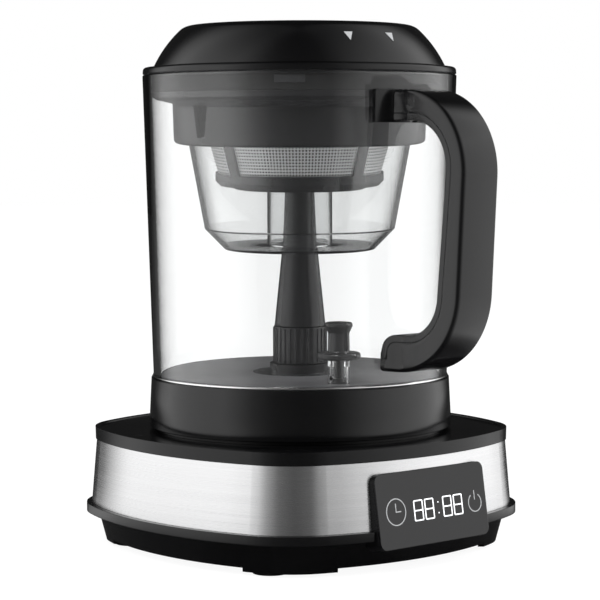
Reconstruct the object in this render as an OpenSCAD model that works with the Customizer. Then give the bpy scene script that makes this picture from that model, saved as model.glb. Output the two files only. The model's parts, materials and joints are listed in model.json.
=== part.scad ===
// Electric cold brew coffee maker: a lit base that spins a magnet under the glass,
// a handled carafe with a pump in its floor, a lift-out brew insert with a filter, and a lid.
// The base stands on z = 0 and its display faces -Y. The origin is the centre of the footprint.

/* [Base] */
// Half of the base's width across its flats, at the foot of the steel band
base_half = 87.9; // [84:0.1:92]
// Radius of the bowed sides
side_r = 150; // [130:1:200]
// Radius of the rounded corners
corner_r = 39; // [32:0.5:44]
// How far the bottom flange stands out past the band
flange_out = 2.4; // [1:0.1:4]
// Height of the flange's underside
flange_low = 15.1; // [14:0.1:16]
// Height of the flange's top, where the steel band starts
flange_high = 19.2; // [18:0.1:20]
// Height of the steel band's top edge
band_high = 48.6; // [48:0.1:49.5]
// How far the band leans in at its top
band_lean = 2.5; // [1:0.1:4]
// Thickness of the steel band
band_t = 0.8; // [0.5:0.1:1.2]
// Wall thickness of the plastic shells
wall = 2; // [1.6:0.1:2.4]
// Height of the tray's rim above the steel band
rim_h = 5.7; // [5:0.1:7]
// Depth of the tray's surface below its rim
rim_drop = 0.7; // [0.4:0.1:1]
// Thickness of the tray's plate
plate_t = 2.4; // [2:0.1:3]
// How far the skirt has drawn in at the corner feet
skirt_draw = 6.6; // [5:0.1:8]
// Height of the corner skirts' lower edge
skirt_low = 1.6; // [0.8:0.1:2]
// Height of the skirt's lower edge between the corners
side_low = 3.4; // [2.5:0.1:4]
// Half of a corner skirt's length across its diagonal
corner_half = 20.4; // [18:0.1:24]
// Radius of a rubber foot
foot_r = 8.5; // [7:0.1:8.8]
// How far a foot's middle lies out from the middle of its corner arc, to the left or right
foot_out_x = 20; // [15:0.1:20.4]
// How far a foot's middle lies out from the middle of its corner arc, to the front or back
foot_out_y = 7.5; // [4:0.1:8]

/* [Display panel] */
// Width of the panel
panel_w = 66.5; // [62:0.1:70]
// How far the panel's middle lies to the right of the base's
panel_x = -1.2; // [-2:0.1:2]
// Height of the panel along its face
panel_h = 32.6; // [30:0.1:33]
// Depth of the panel from its face to its back
panel_d = 9; // [8:0.1:10]
// Radius of the panel's corners
panel_r = 3.4; // [2:0.1:5]
// Lean of the panel's face, in degrees
panel_tilt = 9; // [6:0.5:10]
// Height of the middle of the panel's face
panel_z = 27.3; // [27:0.1:27.6]
// How far the panel's face is set in from the foot of the band
panel_inset = 0.4; // [0:0.1:2]
// Thickness of the panel's glossy front
window_t = 1.2; // [0.8:0.1:1.6]
// Height of a digit
digit_h = 9.4; // [8:0.1:10]
// Width of a digit
digit_w = 5.9; // [5.3:0.1:6.3]
// Width of a lit segment
segment_w = 0.85; // [0.6:0.05:1.2]
// Radius of the clock icon
clock_r = 5.9; // [4:0.1:6.5]
// Radius of the power icon
power_r = 4.2; // [3:0.1:5]

/* [Motor] */
// Radius of the motor's can
motor_r = 13.5; // [12:0.5:15]
// Length of the motor's can
motor_h = 29; // [20:0.5:29.5]
// Radius of the motor's shaft
shaft_r = 1.5; // [1:0.1:2]
// Radius of the drive rotor under the tray
rotor_r = 20.5; // [19:0.5:21]
// Height of the drive rotor
rotor_h = 6.8; // [6:0.1:7]
// Radius of a magnet
magnet_r = 4; // [3:0.1:4.5]
// Height of a magnet
magnet_h = 4; // [3:0.1:4.5]
// Radius of the magnets' circle
magnet_ring_r = 11; // [9:0.5:11.5]

/* [Carafe] */
// Outer radius of the glass at the pump floor
glass_r_low = 67.7; // [67.5:0.05:67.9]
// How much the glass widens per millimetre of height
glass_flare = 0.0308; // [0.029:0.0001:0.032]
// Thickness of the glass
glass_t = 3.2; // [2.9:0.1:3.4]
// Height of the glass's rim
glass_high = 215.6; // [214:0.1:217]
// Height of the carafe ring
ring_h = 22.5; // [22:0.1:23]
// How far the carafe ring stands out past the glass at its foot
ring_out = 2.1; // [1.5:0.1:3]
// Thickness of the carafe ring's lip round the glass
ring_lip = 0.9; // [0.6:0.1:1.4]
// Thickness of the carafe's floor
floor_t = 5.5; // [5:0.1:6]
// Radius of the pump chamber
chamber_r = 18; // [17:0.5:19]
// Radius of the impeller
impeller_r = 16.5; // [15.5:0.1:16.6]
// Radius of the ribbed collar, without its ribs
collar_r = 12.1; // [12:0.1:12.4]
// Height of the ribbed collar
collar_h = 16.1; // [14:0.1:18]
// Radius of a collar rib
rib_r = 0.6; // [0.4:0.05:0.7]
// Number of collar ribs
rib_count = 28; // [20:1:32]
// Height of the flow column's top
column_high = 186; // [182:0.5:187]
// How far the valve's middle lies in from the foot of the glass
valve_in = 15.5; // [15:0.1:18]
// Angle of the valve to the left of the front, in degrees
valve_angle = 23.2; // [20:0.1:28]

/* [Handle] */
// Width of the handle from left to right
handle_w = 21.7; // [20:0.1:24]
// Distance from the axis to the centre of the handle's upper bend
bend_out_top = 78.9; // [77:0.1:81]
// Height of the centre of the handle's upper bend
bend_z_top = 172; // [170:0.5:173]
// Distance from the axis to the centre of the handle's lower bend
bend_out_low = 74.5; // [73:0.5:76]
// Height of the centre of the handle's lower bend
bend_z_low = 122; // [120:0.5:124]
// Outer radius of the upper bend
bend_r_top = 35.6; // [35:0.1:36.5]
// Outer radius of the lower bend
bend_r_low = 37; // [36:0.1:37.5]
// Radius of the finger gap's upper end
gap_r_top = 20.6; // [19.6:0.1:21.4]
// Radius of the finger gap's lower end
gap_r_low = 18.4; // [17.4:0.1:19.4]
// Radius of the rounded end of the handle's lower arm, where it meets the glass
end_r = 7.5; // [6:0.1:9]
// How much wider the handle's arms are on each side where they meet the glass
flare_w = 2.2; // [1:0.1:3]
// How far out from the glass the arms start to widen
flare_len = 11; // [8:0.5:14]
// Thickness of the handle's inner shell
inner_shell_t = 3.2; // [2.8:0.1:4]
// Half of the angle that the bracket spans round the glass, in degrees
bracket_angle = 16; // [13:0.5:20]
// Height of the bracket
bracket_h = 14.4; // [13:0.1:15]
// Thickness of the bracket
bracket_pad = 3.1; // [2.8:0.1:3.5]

/* [Brew insert] */
// How far the basket holder's wall is set in from its rim
holder_step = 9.66; // [9.1:0.02:10]
// Height of the basket holder's wall
holder_h = 17.3; // [17:0.1:18]
// Height of the holder's rim, from its flare up to the glass's rim
holder_rim_h = 16; // [15:0.1:17]
// How far the brew cup's wall lies in from the holder's
cup_step = 6.7; // [6.2:0.1:7.4]
// How much the brew cup narrows down to its chamfer
cup_taper = 7.8; // [7.2:0.1:8.7]
// Depth of the brew cup below its flange
cup_depth = 50.3; // [48:0.1:52]
// Size of the chamfer at the cup's foot
cup_chamfer = 9.2; // [7:0.1:10]
// Thickness of the clear brew cup
cup_t = 1.8; // [1.5:0.1:2]
// Outer radius of the cup's central tube
tube_r = 15; // [14.5:0.1:15.2]
// Thickness of the central tube
tube_t = 1.4; // [1.2:0.1:1.8]
// Depth of the filter below its flange
filter_depth = 25.6; // [24:0.1:27]
// How far the filter's base lies in from the cup
filter_in = 5.1; // [4.7:0.1:5.9]
// How much the filter's mesh widens up to its top
filter_taper = 4.1; // [3.6:0.1:4.6]
// Height of the filter's mesh
mesh_h = 13.8; // [12:0.1:15]
// Thickness of the filter's mesh
mesh_t = 0.5; // [0.4:0.05:0.8]
// Width of a filter rib
filter_rib_w = 5.5; // [4:0.1:7]

/* [Lid] */
// How far the lid's ring stands out past the glass's rim
lid_out = 0.1; // [0:0.05:0.5]
// Height of the lid's ring
lid_ring_h = 3; // [2.8:0.1:3.4]
// How far the dome's foot is set in from the lid's ring
dome_step = 5.1; // [4.5:0.1:5.5]
// Radius of the dome's sloping side
dome_side_r = 55; // [53:0.5:58]
// Radius of the dome's rounded shoulder
dome_corner_r = 8; // [6:0.5:10]
// Height of the lid's middle above its shoulder
crown = 1.2; // [0.6:0.1:2]
// Thickness of the dome
dome_t = 2.2; // [1.8:0.1:2.6]

/* [Fits] */
// Gap between pieces that move past each other
clear = 0.3; // [0.25:0.05:0.4]
// Gap between fixed pieces that lie on each other
seam = 0.05; // [0.03:0.01:0.08]
// Radial clearance between a shaft or stem and its bore
running = 0.06; // [0.03:0.01:0.1]

/* [Hidden] */
$fn = 96;

black = [0.05, 0.05, 0.055];
dark = [0.2, 0.2, 0.21];
grey = [0.45, 0.45, 0.46];
steel = [0.75, 0.75, 0.76];
clear_glass = [0.85, 0.9, 0.92, 0.35];
light = [0.95, 0.96, 0.98];
green = [0.1, 0.35, 0.2];
rubber = [0.16, 0.16, 0.16];
eps = 0.01;
far = 400;

// The handle reaches furthest forward and the flange furthest back
axis_y = (bend_out_top + bend_r_top - base_half - flange_out) / 2;

// Rounded square: side arcs and corner arcs meet at one bend angle. The corners swell
// a hair past tangency, so that each joint is a clean crossing.
swell = 0.02;
side_gap = side_r - base_half;
corner_at = (sqrt(2 * pow(side_r - corner_r, 2) - pow(side_gap, 2)) - side_gap) / 2;
bend = atan2(corner_at, corner_at + side_gap);
join_x = side_r * sin(bend);
join_y = side_r * cos(bend) - side_gap;

// Shells of the base, as insets from its outline
shell_inset = band_t + 0.1;
shell_inner = shell_inset + wall;
skirt_top = 3;
skirt_wall = 2.4;
tray_draw = band_lean - 0.5;
lip_inset = shell_inner + band_lean + clear;
lip_drop = 4.4;
rim_low = band_high + seam;
rim_high = band_high + rim_h;
tray_high = rim_high - rim_drop;
plate_low = tray_high - plate_t;

// Bottom cover, its feet and what stands on it
cover_low = 5.2;
cover_t = 2;
cover_high = cover_low + cover_t;
ledge_low = cover_high + seam;
ledge_t = 2;
ledge_w = 2.6;
foot_x = corner_at + foot_out_x;
foot_y = corner_at + foot_out_y;
foot_high = 3.2;
foot_bevel = 0.8;
stem_r = 2.5;
barb_r = 3.4;
barb_h = 1.2;
post_r = 4.5;
post_in_x = 41.9;
post_in_y = 23.9;
post_x = base_half - post_in_x;
post_y = base_half - post_in_y;
base_screw_len = 10;
screw_r = 1.4;
screw_grip = 5;
head_r = 2.7;
head_h = 1.8;
cross_w = 0.6;
pilot = 0.04;
board_low = cover_high + 4.8;
board_t = 1.6;
board_w = 70;
board_d = 50;
board_screw_x = 30;
board_screw_y = 20;
board_screw_len = 5;
// Parts on the main board as [x, y, width, depth, height], and its tall round one
board_parts = [[-29, -9, 11, 16, 8], [19, -9, 9, 9, 6], [-16, 17, 30, 5, 4]];
can_x = 23;
can_y = 8;
can_r = 3.5;
can_h = 9;
vent_w = 2.6;
vent_len = 34;
vent_step = 5;
vent_y = base_half - post_in_x;

// Raised pad under the carafe
pad_high = tray_high + 1.3;
pad_r = glass_r_low - 1.7;
carafe_low = pad_high + clear;

// Motor and drive under the cap in the middle of the tray
rotor_low = plate_low - 0.7;
rotor_high = rotor_low + rotor_h;
cap_r = 26;
cap_draft = 0.6;
cap_t = 1.8;
cap_high = rotor_high + 1.2 + cap_t;
cavity_r = rotor_r + 2.9;
bracket_t = 2.5;
bracket_high = rotor_low - 4;
bracket_r = 35;
bracket_screw_r = 31;
boss_r = 3.6;
motor_high = bracket_high - bracket_t;
motor_boss_r = 5;
motor_screw_at = 9;
relief_r = 6;
relief_at = 23;
shaft_sunk = 10;

// Power inlet in the back
inlet_z = 31;
inlet_r = 5;
inlet_face_r = 7.2;
inlet_face_t = 1.2;
inlet_len = 14;
plug_r = 2.8;
plug_len = 10;
nut_r = 8;
nut_t = 2.5;
band_angle = atan2(band_lean, band_high - flange_high);

// Display, in the panel's own plane
frame_t = 1.4;
cell_margin = 2;
colon_x = 3.2;
digit_first = 5.55;
digit_step = 6.65;
cells_w = 31;
digit_z = -1.2;
legend_t = 0.12;
clock_x = -22.5;
power_x = 26;
line_w = 0.45;
display_t = 1.6;
cable_w = 12;
cable_t = 0.8;

// Lower works of the carafe
bottom_t = 2;
roof_low = cap_high + clear;
roof_t = 1.4;
chamber_low = roof_low + roof_t + clear;
chamber_t = 1.8;
ring_high = carafe_low + ring_h;
shelf_drop = 4.1;
shelf_high = ring_high - shelf_drop;
shelf_r = glass_r_low - 7.2;
shelf_t = 2;
floor_low = shelf_high + seam;
floor_high = floor_low + floor_t;
floor_r = glass_r_low - glass_t - 0.4;
cover_seat = floor_high - 1.9;
cover_r = 21.8;
seal_h = 2.2;
seal_w = 1.7;
boss_ring_r = 45;
boss_h = 4.1;
boss_low = carafe_low + boss_h;
floor_boss_r = 4;
bottom_boss_r = 5;
carafe_screw_len = 10;
pin_r = 1.5;
pin_boss_r = 3;
impeller_low = chamber_low + chamber_t + 1;
impeller_disc_h = 5.4;
impeller_high = cover_seat - 1.5;
hub_r = 4;
vane_count = 6;
vane_w = 1.6;

// Ribbed collar on its spigot, with two lugs that it twists past
spigot_boss_r = 14;
spigot_boss_h = 3.9;
spigot_boss_high = floor_high + spigot_boss_h;
collar_low = spigot_boss_high + clear;
collar_high = collar_low + collar_h;
spigot_r = 10.2;
spigot_bore = 7.5;
spigot_high = collar_low + 8.8;
lug_r = 11;
lug_low = collar_low + 4.6;
lug_h = 2;
lug_angle = 34;
twist = 45;
column_r_low = 11.8;
column_r_mid = 7.75;
column_r_high = 6.2;
column_mid = collar_high + 38.5;
column_t = 1.7;

// Air bleed valve in the floor
valve_r = glass_r_low - valve_in;
valve_x = -valve_r * sin(valve_angle);
valve_y = -valve_r * cos(valve_angle);
barrel_r = 4.8;
barrel_sunk = 2;
barrel_high = floor_high + 9.9;
barrel_bore = 3.6;
guide_h = 2.5;
valve_stem_r = 2.3;
knob_low = barrel_high + 0.8;
knob_flange_r = 9.5;
knob_flange_h = 2.9;
knob_neck_r = 4.35;
knob_top_r = 6.6;
knob_h = 15.9;
knob_cap_h = 4;
knob_high = knob_low + knob_h;
bleed_r = 0.9;
sump_r = 3.2;
sump_h = 2.2;
valve_seal_r = 3.4;
valve_seal_h = 2;

// Handle
gap_out_top = bend_out_top + 4.5;
gap_z_top = bend_z_top + 1.6;
gap_out_low = bend_out_low + 6;
gap_z_low = bend_z_low - 2.1;
gap_low = gap_z_low - gap_r_low;
end_out = glass_r_low + end_r - 0.4;
end_z = gap_low - end_r;
handle_wall = 2.2;
hollow_from = bend_out_top + 6.1;
bond = 0.15;
bracket_z = glass_high - 22.2;
handle_screw_x = 5.5;
handle_screw_z = bracket_z + 6.8;
handle_screw_len = 9.6;
notch_w = 4;
notch_h = 1.2;

// Brew insert, hung from the glass's rim
holder_flange_low = glass_high + clear;
holder_flange_t = 1;
glass_r_high = glass_r_low + (glass_high - floor_high) * glass_flare;
lid_r = glass_r_high + lid_out;
holder_flange_r = lid_r - 1.4;
flare_low = glass_high - holder_rim_h;
holder_low = flare_low - holder_h;
holder_t = 2;
holder_round = 3;
holder_draft = 0.6;
rim_r = glass_r_low + (flare_low - floor_high) * glass_flare - glass_t - 0.15;
rim_bore = rim_r - 3.7;
holder_r = rim_r - holder_step;
seal_low = flare_low + 7.6;
rim_seal_h = 7.2;
rim_seal_w = 1.7;
slot_low = holder_low + 5;
slot_half = 2.4;
cup_flange_low = holder_low + holder_t + seam;
cup_flange_t = 1.8;
cup_flange_r = holder_r - 3.1;
cup_low = cup_flange_low - cup_depth;
cup_r = holder_r - cup_step;
cup_r_low = cup_r - cup_taper;
filter_flange_low = cup_flange_low + cup_flange_t + clear;
filter_flange_t = 1.8;
filter_flange_r = cup_flange_r - 0.4;
filter_low = filter_flange_low - filter_depth;
filter_r_low = cup_r_low - filter_in;
filter_r_high = filter_r_low + filter_taper;
filter_step_r = filter_r_low - 8.8;
filter_step_h = 1.7;
filter_base_h = 5.5;
filter_tube_r = tube_r + 0.6;
filter_tube_t = 1.4;
filter_wall = 1.2;
mesh_low = filter_low + filter_step_h + filter_base_h;
tube_high = filter_flange_low + filter_flange_t + 0.8;
spray_t = 1.6;
spray_collar = 4.4;
spray_hole_r = 1;

// Lid
lid_low = glass_high + 0.5;
lid_plate_low = holder_flange_low + holder_flange_t + clear;
lid_seam = lid_low + lid_ring_h;
lid_plug_r = rim_bore - 0.4;
lid_plug_h = 6;
lid_skirt_t = 1.1;
gasket_r = lid_r - 5;
gasket_w = 2.8;
gasket_h = 0.95;
dome_r = lid_r - dome_step;
lid_collar_r = dome_r - 4.4;
lid_collar_h = 2.8;
dome_low = lid_seam + clear;
dome_start = 24.8;
dome_turn = 46.4;
mark_w = 4;
mark_h = 4.8;
mark_t = 0.2;
mark_lift = 0.04;
mark_slope = 39.8;
mark_angles = [-20.6, 0.4];

// Centres of the dome's side arc and of its shoulder arc, in profile
dome_cx = dome_r - dome_side_r * cos(dome_start);
dome_cz = lid_seam - dome_side_r * sin(dome_start);
shoulder_cx = dome_cx + (dome_side_r - dome_corner_r) * cos(dome_turn);
shoulder_cz = dome_cz + (dome_side_r - dome_corner_r) * sin(dome_turn);
lid_high = shoulder_cz + dome_corner_r + crown;

function glass_r(z) = glass_r_low + (z - floor_high) * glass_flare;
function inset_at(z) = band_lean * (z - flange_high) / (band_high - flange_high);
function skirt_at(z) = skirt_draw - (skirt_draw - skirt_top) * (z - skirt_low) / (flange_low - skirt_low);
function polar(r, a) = [r * cos(a), r * sin(a)];
function arc(cx, cy, r, a0, a1, n) = [for (i = [0:n]) [cx, cy] + polar(r, a0 + (a1 - a0) * i / n)];
function reversed(list) = [for (i = [len(list) - 1:-1:0]) list[i]];

module on_axis() { translate([0, axis_y, 0]) children(); }
module quarters() { for (k = [0:3]) rotate(90 * k) children(); }
module spread(x, y) { for (sx = [-1, 1], sy = [-1, 1]) translate([sx * x, sy * y, 0]) children(); }
module around(n, r) { for (k = [0:n - 1]) rotate(360 * k / n) translate([r, 0, 0]) children(); }
module rod(r, z0, z1) { translate([0, 0, z0]) cylinder(r = r, h = z1 - z0); }
module pipe(r, bore, z0, z1) {
  difference() {
    rod(r, z0, z1);
    rod(bore, z0 - 1, z1 + 1);
  }
}
module turned(points) { rotate_extrude() polygon(points); }

// A slice of the rounded square between two heights, o0 and o1 past the outline at its ends
module slab(z0, z1, o0, o1) {
  h = z1 - z0;
  translate([0, 0, z0]) {
    cylinder(r = base_half / 2, h = h);
    quarters() {
      intersection() {
        translate([0, -side_gap, 0]) cylinder(r1 = side_r + o0, r2 = side_r + o1, h = h);
        linear_extrude(h) polygon([[-join_x / 4, join_y / 4], [join_x / 4, join_y / 4],
          [join_x * 1.4, join_y * 1.4], [-join_x * 1.4, join_y * 1.4]]);
      }
      translate([corner_at, corner_at, 0])
        cylinder(r1 = corner_r + o0 + swell, r2 = corner_r + o1 + swell, h = h);
    }
  }
}

// A slice that keeps one inset from the leaning band, and one that keeps it from the skirt
module band_slice(z0, z1, inset) { slab(z0, z1, -inset - inset_at(z0), -inset - inset_at(z1)); }
module skirt_slice(z0, z1, inset) { slab(z0, z1, -inset - skirt_at(z0), -inset - skirt_at(z1)); }

// A screw that points up, with its head's seat at z = 0
module screw(len) {
  difference() {
    union() {
      cylinder(r = screw_r, h = len);
      translate([0, 0, -head_h]) cylinder(r = head_r, h = head_h);
    }
    for (a = [0, 90]) rotate(a) translate([0, 0, -head_h])
      cube([head_r * 1.2, cross_w, head_h], center = true);
  }
}

// Panel frame: x to the right, y into the base, z up along the face
module on_panel() {
  on_axis() translate([panel_x, panel_inset - base_half, panel_z]) rotate([-panel_tilt, 0, 0]) children();
}
module round_rect(w, h, r) {
  square([w - 2 * r, h], center = true);
  square([w, h - 2 * r], center = true);
  for (sx = [-1, 1], sy = [-1, 1]) translate([sx * (w / 2 - r), sy * (h / 2 - r)]) circle(r = r);
}
module panel_block(margin, d0, d1) {
  translate([0, d1, 0]) rotate([90, 0, 0]) linear_extrude(d1 - d0)
    round_rect(panel_w - 2 * margin, panel_h - 2 * margin, max(panel_r - margin, 0.8));
}
module panel_cut() { on_panel() panel_block(-0.1, -far / 20, panel_d + 0.2); }

// Inlet frame: z out of the back, square to the leaning band
module on_inlet() {
  on_axis() translate([0, base_half - inset_at(inlet_z), inlet_z]) rotate([band_angle - 90, 0, 0])
    children();
}

module lower_housing() {
  color(black) difference() {
    on_axis() difference() {
      union() {
        slab(flange_low, flange_high, flange_out, flange_out);
        skirt_slice(skirt_low, flange_low + eps, 0);
        band_slice(flange_high - eps, band_high, shell_inset);
      }
      skirt_slice(skirt_low - 1, ledge_low, skirt_wall);
      skirt_slice(ledge_low - eps, ledge_low + ledge_t + eps, skirt_wall + ledge_w);
      skirt_slice(ledge_low + ledge_t, flange_low + eps, skirt_wall);
      band_slice(flange_low, band_high + 1, shell_inner);
      difference() {
        rod(far / 2, skirt_low - 1, side_low);
        for (a = [45, 135]) rotate(a) cube([far, 2 * corner_half, 4 * side_low], center = true);
      }
    }
    panel_cut();
    on_inlet() cylinder(r = inlet_r + 0.15, h = far / 10, center = true);
  }
}

module steel_band() {
  color(steel) difference() {
    on_axis() difference() {
      band_slice(flange_high + eps, band_high, 0);
      band_slice(flange_high - 1, band_high + 1, band_t);
    }
    panel_cut();
    on_inlet() cylinder(r = inlet_r + 0.15, h = far / 10, center = true);
  }
}

module tray() {
  post_low = cover_high + seam;
  color(black) on_axis() difference() {
    union() {
      difference() {
        union() {
          slab(rim_low, rim_high, -tray_draw, -tray_draw + 0.15);
          slab(rim_low - lip_drop, rim_low + 1, -lip_inset, -lip_inset);
        }
        slab(tray_high, tray_high + 3, -tray_draw - 2.6, -tray_draw - 0.4);
        slab(rim_low - lip_drop - 1, plate_low, -lip_inset - wall, -lip_inset - wall);
      }
      rod(pad_r, plate_low, pad_high);
      translate([0, 0, plate_low]) cylinder(r1 = cap_r, r2 = cap_r - cap_draft, h = cap_high - plate_low);
      spread(post_x, post_y) rod(post_r, post_low, plate_low + 1);
      rotate(30) around(3, bracket_screw_r) rod(boss_r, bracket_high + seam, plate_low + 1);
    }
    rod(cavity_r, plate_low - 1, cap_high - cap_t);
    spread(post_x, post_y) rod(screw_r + pilot, post_low - 1, post_low + base_screw_len + 2);
    rotate(30) around(3, bracket_screw_r) rod(screw_r + pilot, bracket_high - 1, plate_low + 1);
  }
}

module bottom_cover() {
  edge = skirt_wall + clear;
  color(black) on_axis() difference() {
    union() {
      skirt_slice(cover_low, cover_high, edge);
      spread(foot_x, foot_y) rod(foot_r, foot_high + seam, cover_low + eps);
      spread(board_screw_x, board_screw_y) rod(boss_r, cover_high - eps, board_low - seam);
    }
    spread(foot_x, foot_y) rod(stem_r + 0.1, 0, cover_high + 1);
    spread(post_x, post_y) rod(screw_r + 0.2, 0, cover_high + 1);
    spread(board_screw_x, board_screw_y) rod(screw_r + pilot, cover_low + 1, board_low);
    for (side = [-1, 1], k = [-2:2]) translate([side * vent_len * 0.62, vent_y + vent_step * k, cover_low])
      cube([vent_len, vent_w, far / 10], center = true);
  }
}

module rubber_feet() {
  color(rubber) on_axis() spread(foot_x, foot_y) {
    cylinder(r1 = foot_r - foot_bevel, r2 = foot_r, h = foot_bevel + eps);
    rod(foot_r, foot_bevel, foot_high);
    rod(stem_r, foot_high - eps, cover_high + 1);
    rod(barb_r, cover_high + seam, cover_high + seam + barb_h);
  }
}

module base_screws() {
  color(steel) on_axis() spread(post_x, post_y)
    translate([0, 0, cover_low - seam]) screw(base_screw_len);
}

module panel_window() {
  color(black) on_panel() panel_block(0, 0, window_t);
}

module panel_housing() {
  color(black) on_panel() difference() {
    panel_block(0, window_t + seam, panel_d);
    panel_block(cell_margin, window_t + seam + frame_t, panel_d + 1);
    translate([0, 0, digit_z]) cube([panel_w - 8, far / 8, digit_h + 4], center = true);
  }
}

// Flat shapes on the panel's face, standing just off it
module on_face() {
  on_panel() translate([0, -seam / 2, 0]) rotate([90, 0, 0]) linear_extrude(legend_t) children();
}
module digit() {
  cell_w = digit_w - 2 * segment_w;
  cell_h = (digit_h - 3 * segment_w) / 2;
  difference() {
    round_rect(digit_w, digit_h, segment_w);
    for (s = [-1, 1]) translate([0, s * (cell_h + segment_w) / 2])
      round_rect(cell_w, cell_h, segment_w / 3);
  }
}
module panel_digits() {
  color(light) on_face() translate([colon_x, digit_z]) {
    for (s = [-1, 1], k = [0, 1]) translate([s * (digit_step * k + digit_first), 0]) digit();
    for (s = [-1, 1]) translate([0, s * digit_h / 4]) square(segment_w, center = true);
  }
}
module open_ring(r, half_gap) {
  difference() {
    circle(r = r);
    circle(r = r - line_w);
    if (half_gap > 0) polygon([[0, 0], 2 * polar(r, 90 + half_gap), 2 * polar(r, 90 - half_gap)]);
  }
}
module panel_icons() {
  hand_low = line_w / 2;
  color(light) on_face() {
    translate([clock_x, digit_z + 0.7]) {
      open_ring(clock_r, 0);
      translate([-line_w / 2, -hand_low]) square([line_w, clock_r * 0.62 + hand_low]);
      translate([-line_w / 2, -hand_low]) square([clock_r * 0.5 + hand_low, line_w]);
    }
    translate([power_x, digit_z - 0.3]) {
      open_ring(power_r, 34);
      translate([-line_w / 2, power_r * 0.3]) square([line_w, power_r]);
    }
  }
}

module display_board() {
  back = panel_d - 1;
  front = window_t + frame_t + 2 * seam;
  board = cell_margin + 0.2;
  color(green) on_panel() {
    panel_block(board, back - display_t, back);
    translate([colon_x - cells_w / 2, front, digit_z - digit_h / 2]) cube([cells_w, back - front, digit_h]);
    translate([-cable_w / 2 - 1, back - eps, -7]) cube([cable_w + 2, 0.9, 5]);
  }
}

module control_board() {
  top = board_low + board_t;
  color(green) on_axis() difference() {
    union() {
      translate([-board_w / 2, -board_d / 2, board_low]) cube([board_w, board_d, board_t]);
      translate([-cable_w / 2 - 1, -board_d / 2, top - eps]) cube([cable_w + 2, 4, 0.5]);
      for (p = board_parts) translate([p[0], p[1], top - eps]) cube([p[2], p[3], p[4]]);
      translate([can_x, can_y, 0]) rod(can_r, top - eps, top + can_h);
    }
    spread(board_screw_x, board_screw_y) rod(screw_r + 0.2, board_low - 1, top + 1);
  }
}

module board_screws() {
  color(steel) on_axis() spread(board_screw_x, board_screw_y)
    translate([0, 0, board_low + board_t + seam]) mirror([0, 0, 1]) screw(board_screw_len);
}

module board_cable() {
  reach = base_half - panel_inset - panel_d - 0.4;
  run_z = board_low + board_t + 2.6;
  end_y = board_d / 2 - 2;
  end_z = board_low + board_t + 0.5 + seam;
  color(grey) on_axis() rotate([90, 0, -90]) linear_extrude(cable_w, center = true)
    polygon([[reach + cable_t, panel_z - 2], [reach, panel_z - 2], [reach, run_z + cable_t],
      [end_y - cable_t, run_z + cable_t], [end_y - cable_t, end_z], [end_y, end_z],
      [end_y, run_z], [reach + cable_t, run_z]]);
}

module motor() {
  color(steel) on_axis() difference() {
    union() {
      rod(motor_r, motor_high - motor_h, motor_high - seam);
      rod(motor_boss_r, motor_high - 1, bracket_high - 0.5);
    }
    rod(shaft_r + running, motor_high - shaft_sunk - 0.5, bracket_high);
    for (s = [-1, 1]) translate([s * motor_screw_at, 0, 0])
      rod(screw_r + pilot, motor_high - screw_grip - 1, motor_high);
  }
}

module motor_bracket() {
  color(steel) on_axis() difference() {
    rod(bracket_r, motor_high, bracket_high);
    rod(motor_boss_r + 0.1, motor_high - 1, bracket_high + 1);
    for (s = [-1, 1]) translate([s * motor_screw_at, 0, 0])
      rod(screw_r + 0.2, motor_high - 1, bracket_high + 1);
    rotate(30) around(3, bracket_screw_r) rod(screw_r + 0.2, motor_high - 1, bracket_high + 1);
    rotate(90) around(3, relief_at) rod(relief_r, motor_high - 1, bracket_high + 1);
  }
}

module motor_screws() {
  color(steel) on_axis() for (s = [-1, 1]) translate([s * motor_screw_at, 0, bracket_high + seam])
    mirror([0, 0, 1]) screw(bracket_t + screw_grip);
}

module bracket_screws() {
  color(steel) on_axis() rotate(30) around(3, bracket_screw_r)
    translate([0, 0, motor_high - seam]) screw(bracket_t + screw_grip);
}

module power_inlet() {
  color(black) on_inlet() {
    difference() {
      union() {
        rod(inlet_r, -inlet_len, 1);
        rod(inlet_face_r, seam, inlet_face_t);
      }
      rod(plug_r, -plug_len, far);
    }
    rod(1, -plug_len - 1, -2);
  }
}

module inlet_nut() {
  color(steel) on_inlet() difference() {
    rotate(30) translate([0, 0, -shell_inner - clear - nut_t]) cylinder(r = nut_r, h = nut_t, $fn = 6);
    rod(inlet_r + running, -inlet_len, 0);
  }
}

module motor_shaft() {
  color(steel) on_axis() rod(shaft_r, motor_high - shaft_sunk, rotor_high - 1);
}

module drive_rotor() {
  color(dark) on_axis() difference() {
    rod(rotor_r, rotor_low, rotor_high);
    rod(shaft_r + 0.02, rotor_low - 1, rotor_high + 1);
    around(4, magnet_ring_r) rod(magnet_r + seam, rotor_high - magnet_h - seam, rotor_high + 1);
  }
}

module drive_magnets() {
  color(steel) on_axis() around(4, magnet_ring_r) rod(magnet_r, rotor_high - magnet_h, rotor_high);
}

module carafe_glass() {
  z0 = shelf_high + 0.2;
  z1 = glass_high - glass_t / 2;
  top = glass_r(z1) - glass_t / 2;
  color(clear_glass) on_axis() turned(concat([[glass_r(z0) - glass_t, z0], [glass_r(z0), z0]],
    arc(top, z1, glass_t / 2, 0, 180, 12)));
}

module carafe_ring() {
  lip_bore = glass_r(ring_high) + 0.1;
  step_r = glass_r_low + 0.2;
  step_z = carafe_low + bottom_t + seam;
  color(black) on_axis() turned([[glass_r_low + ring_out, carafe_low], [lip_bore + ring_lip, ring_high],
    [lip_bore, ring_high], [lip_bore - 0.1, shelf_high], [shelf_r, shelf_high],
    [shelf_r, shelf_high - shelf_t], [step_r - 1.7, shelf_high - shelf_t],
    [step_r - 1.7, step_z], [step_r, step_z], [step_r, carafe_low]]);
}

module valve_at() { translate([valve_x, valve_y, 0]) children(); }

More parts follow.
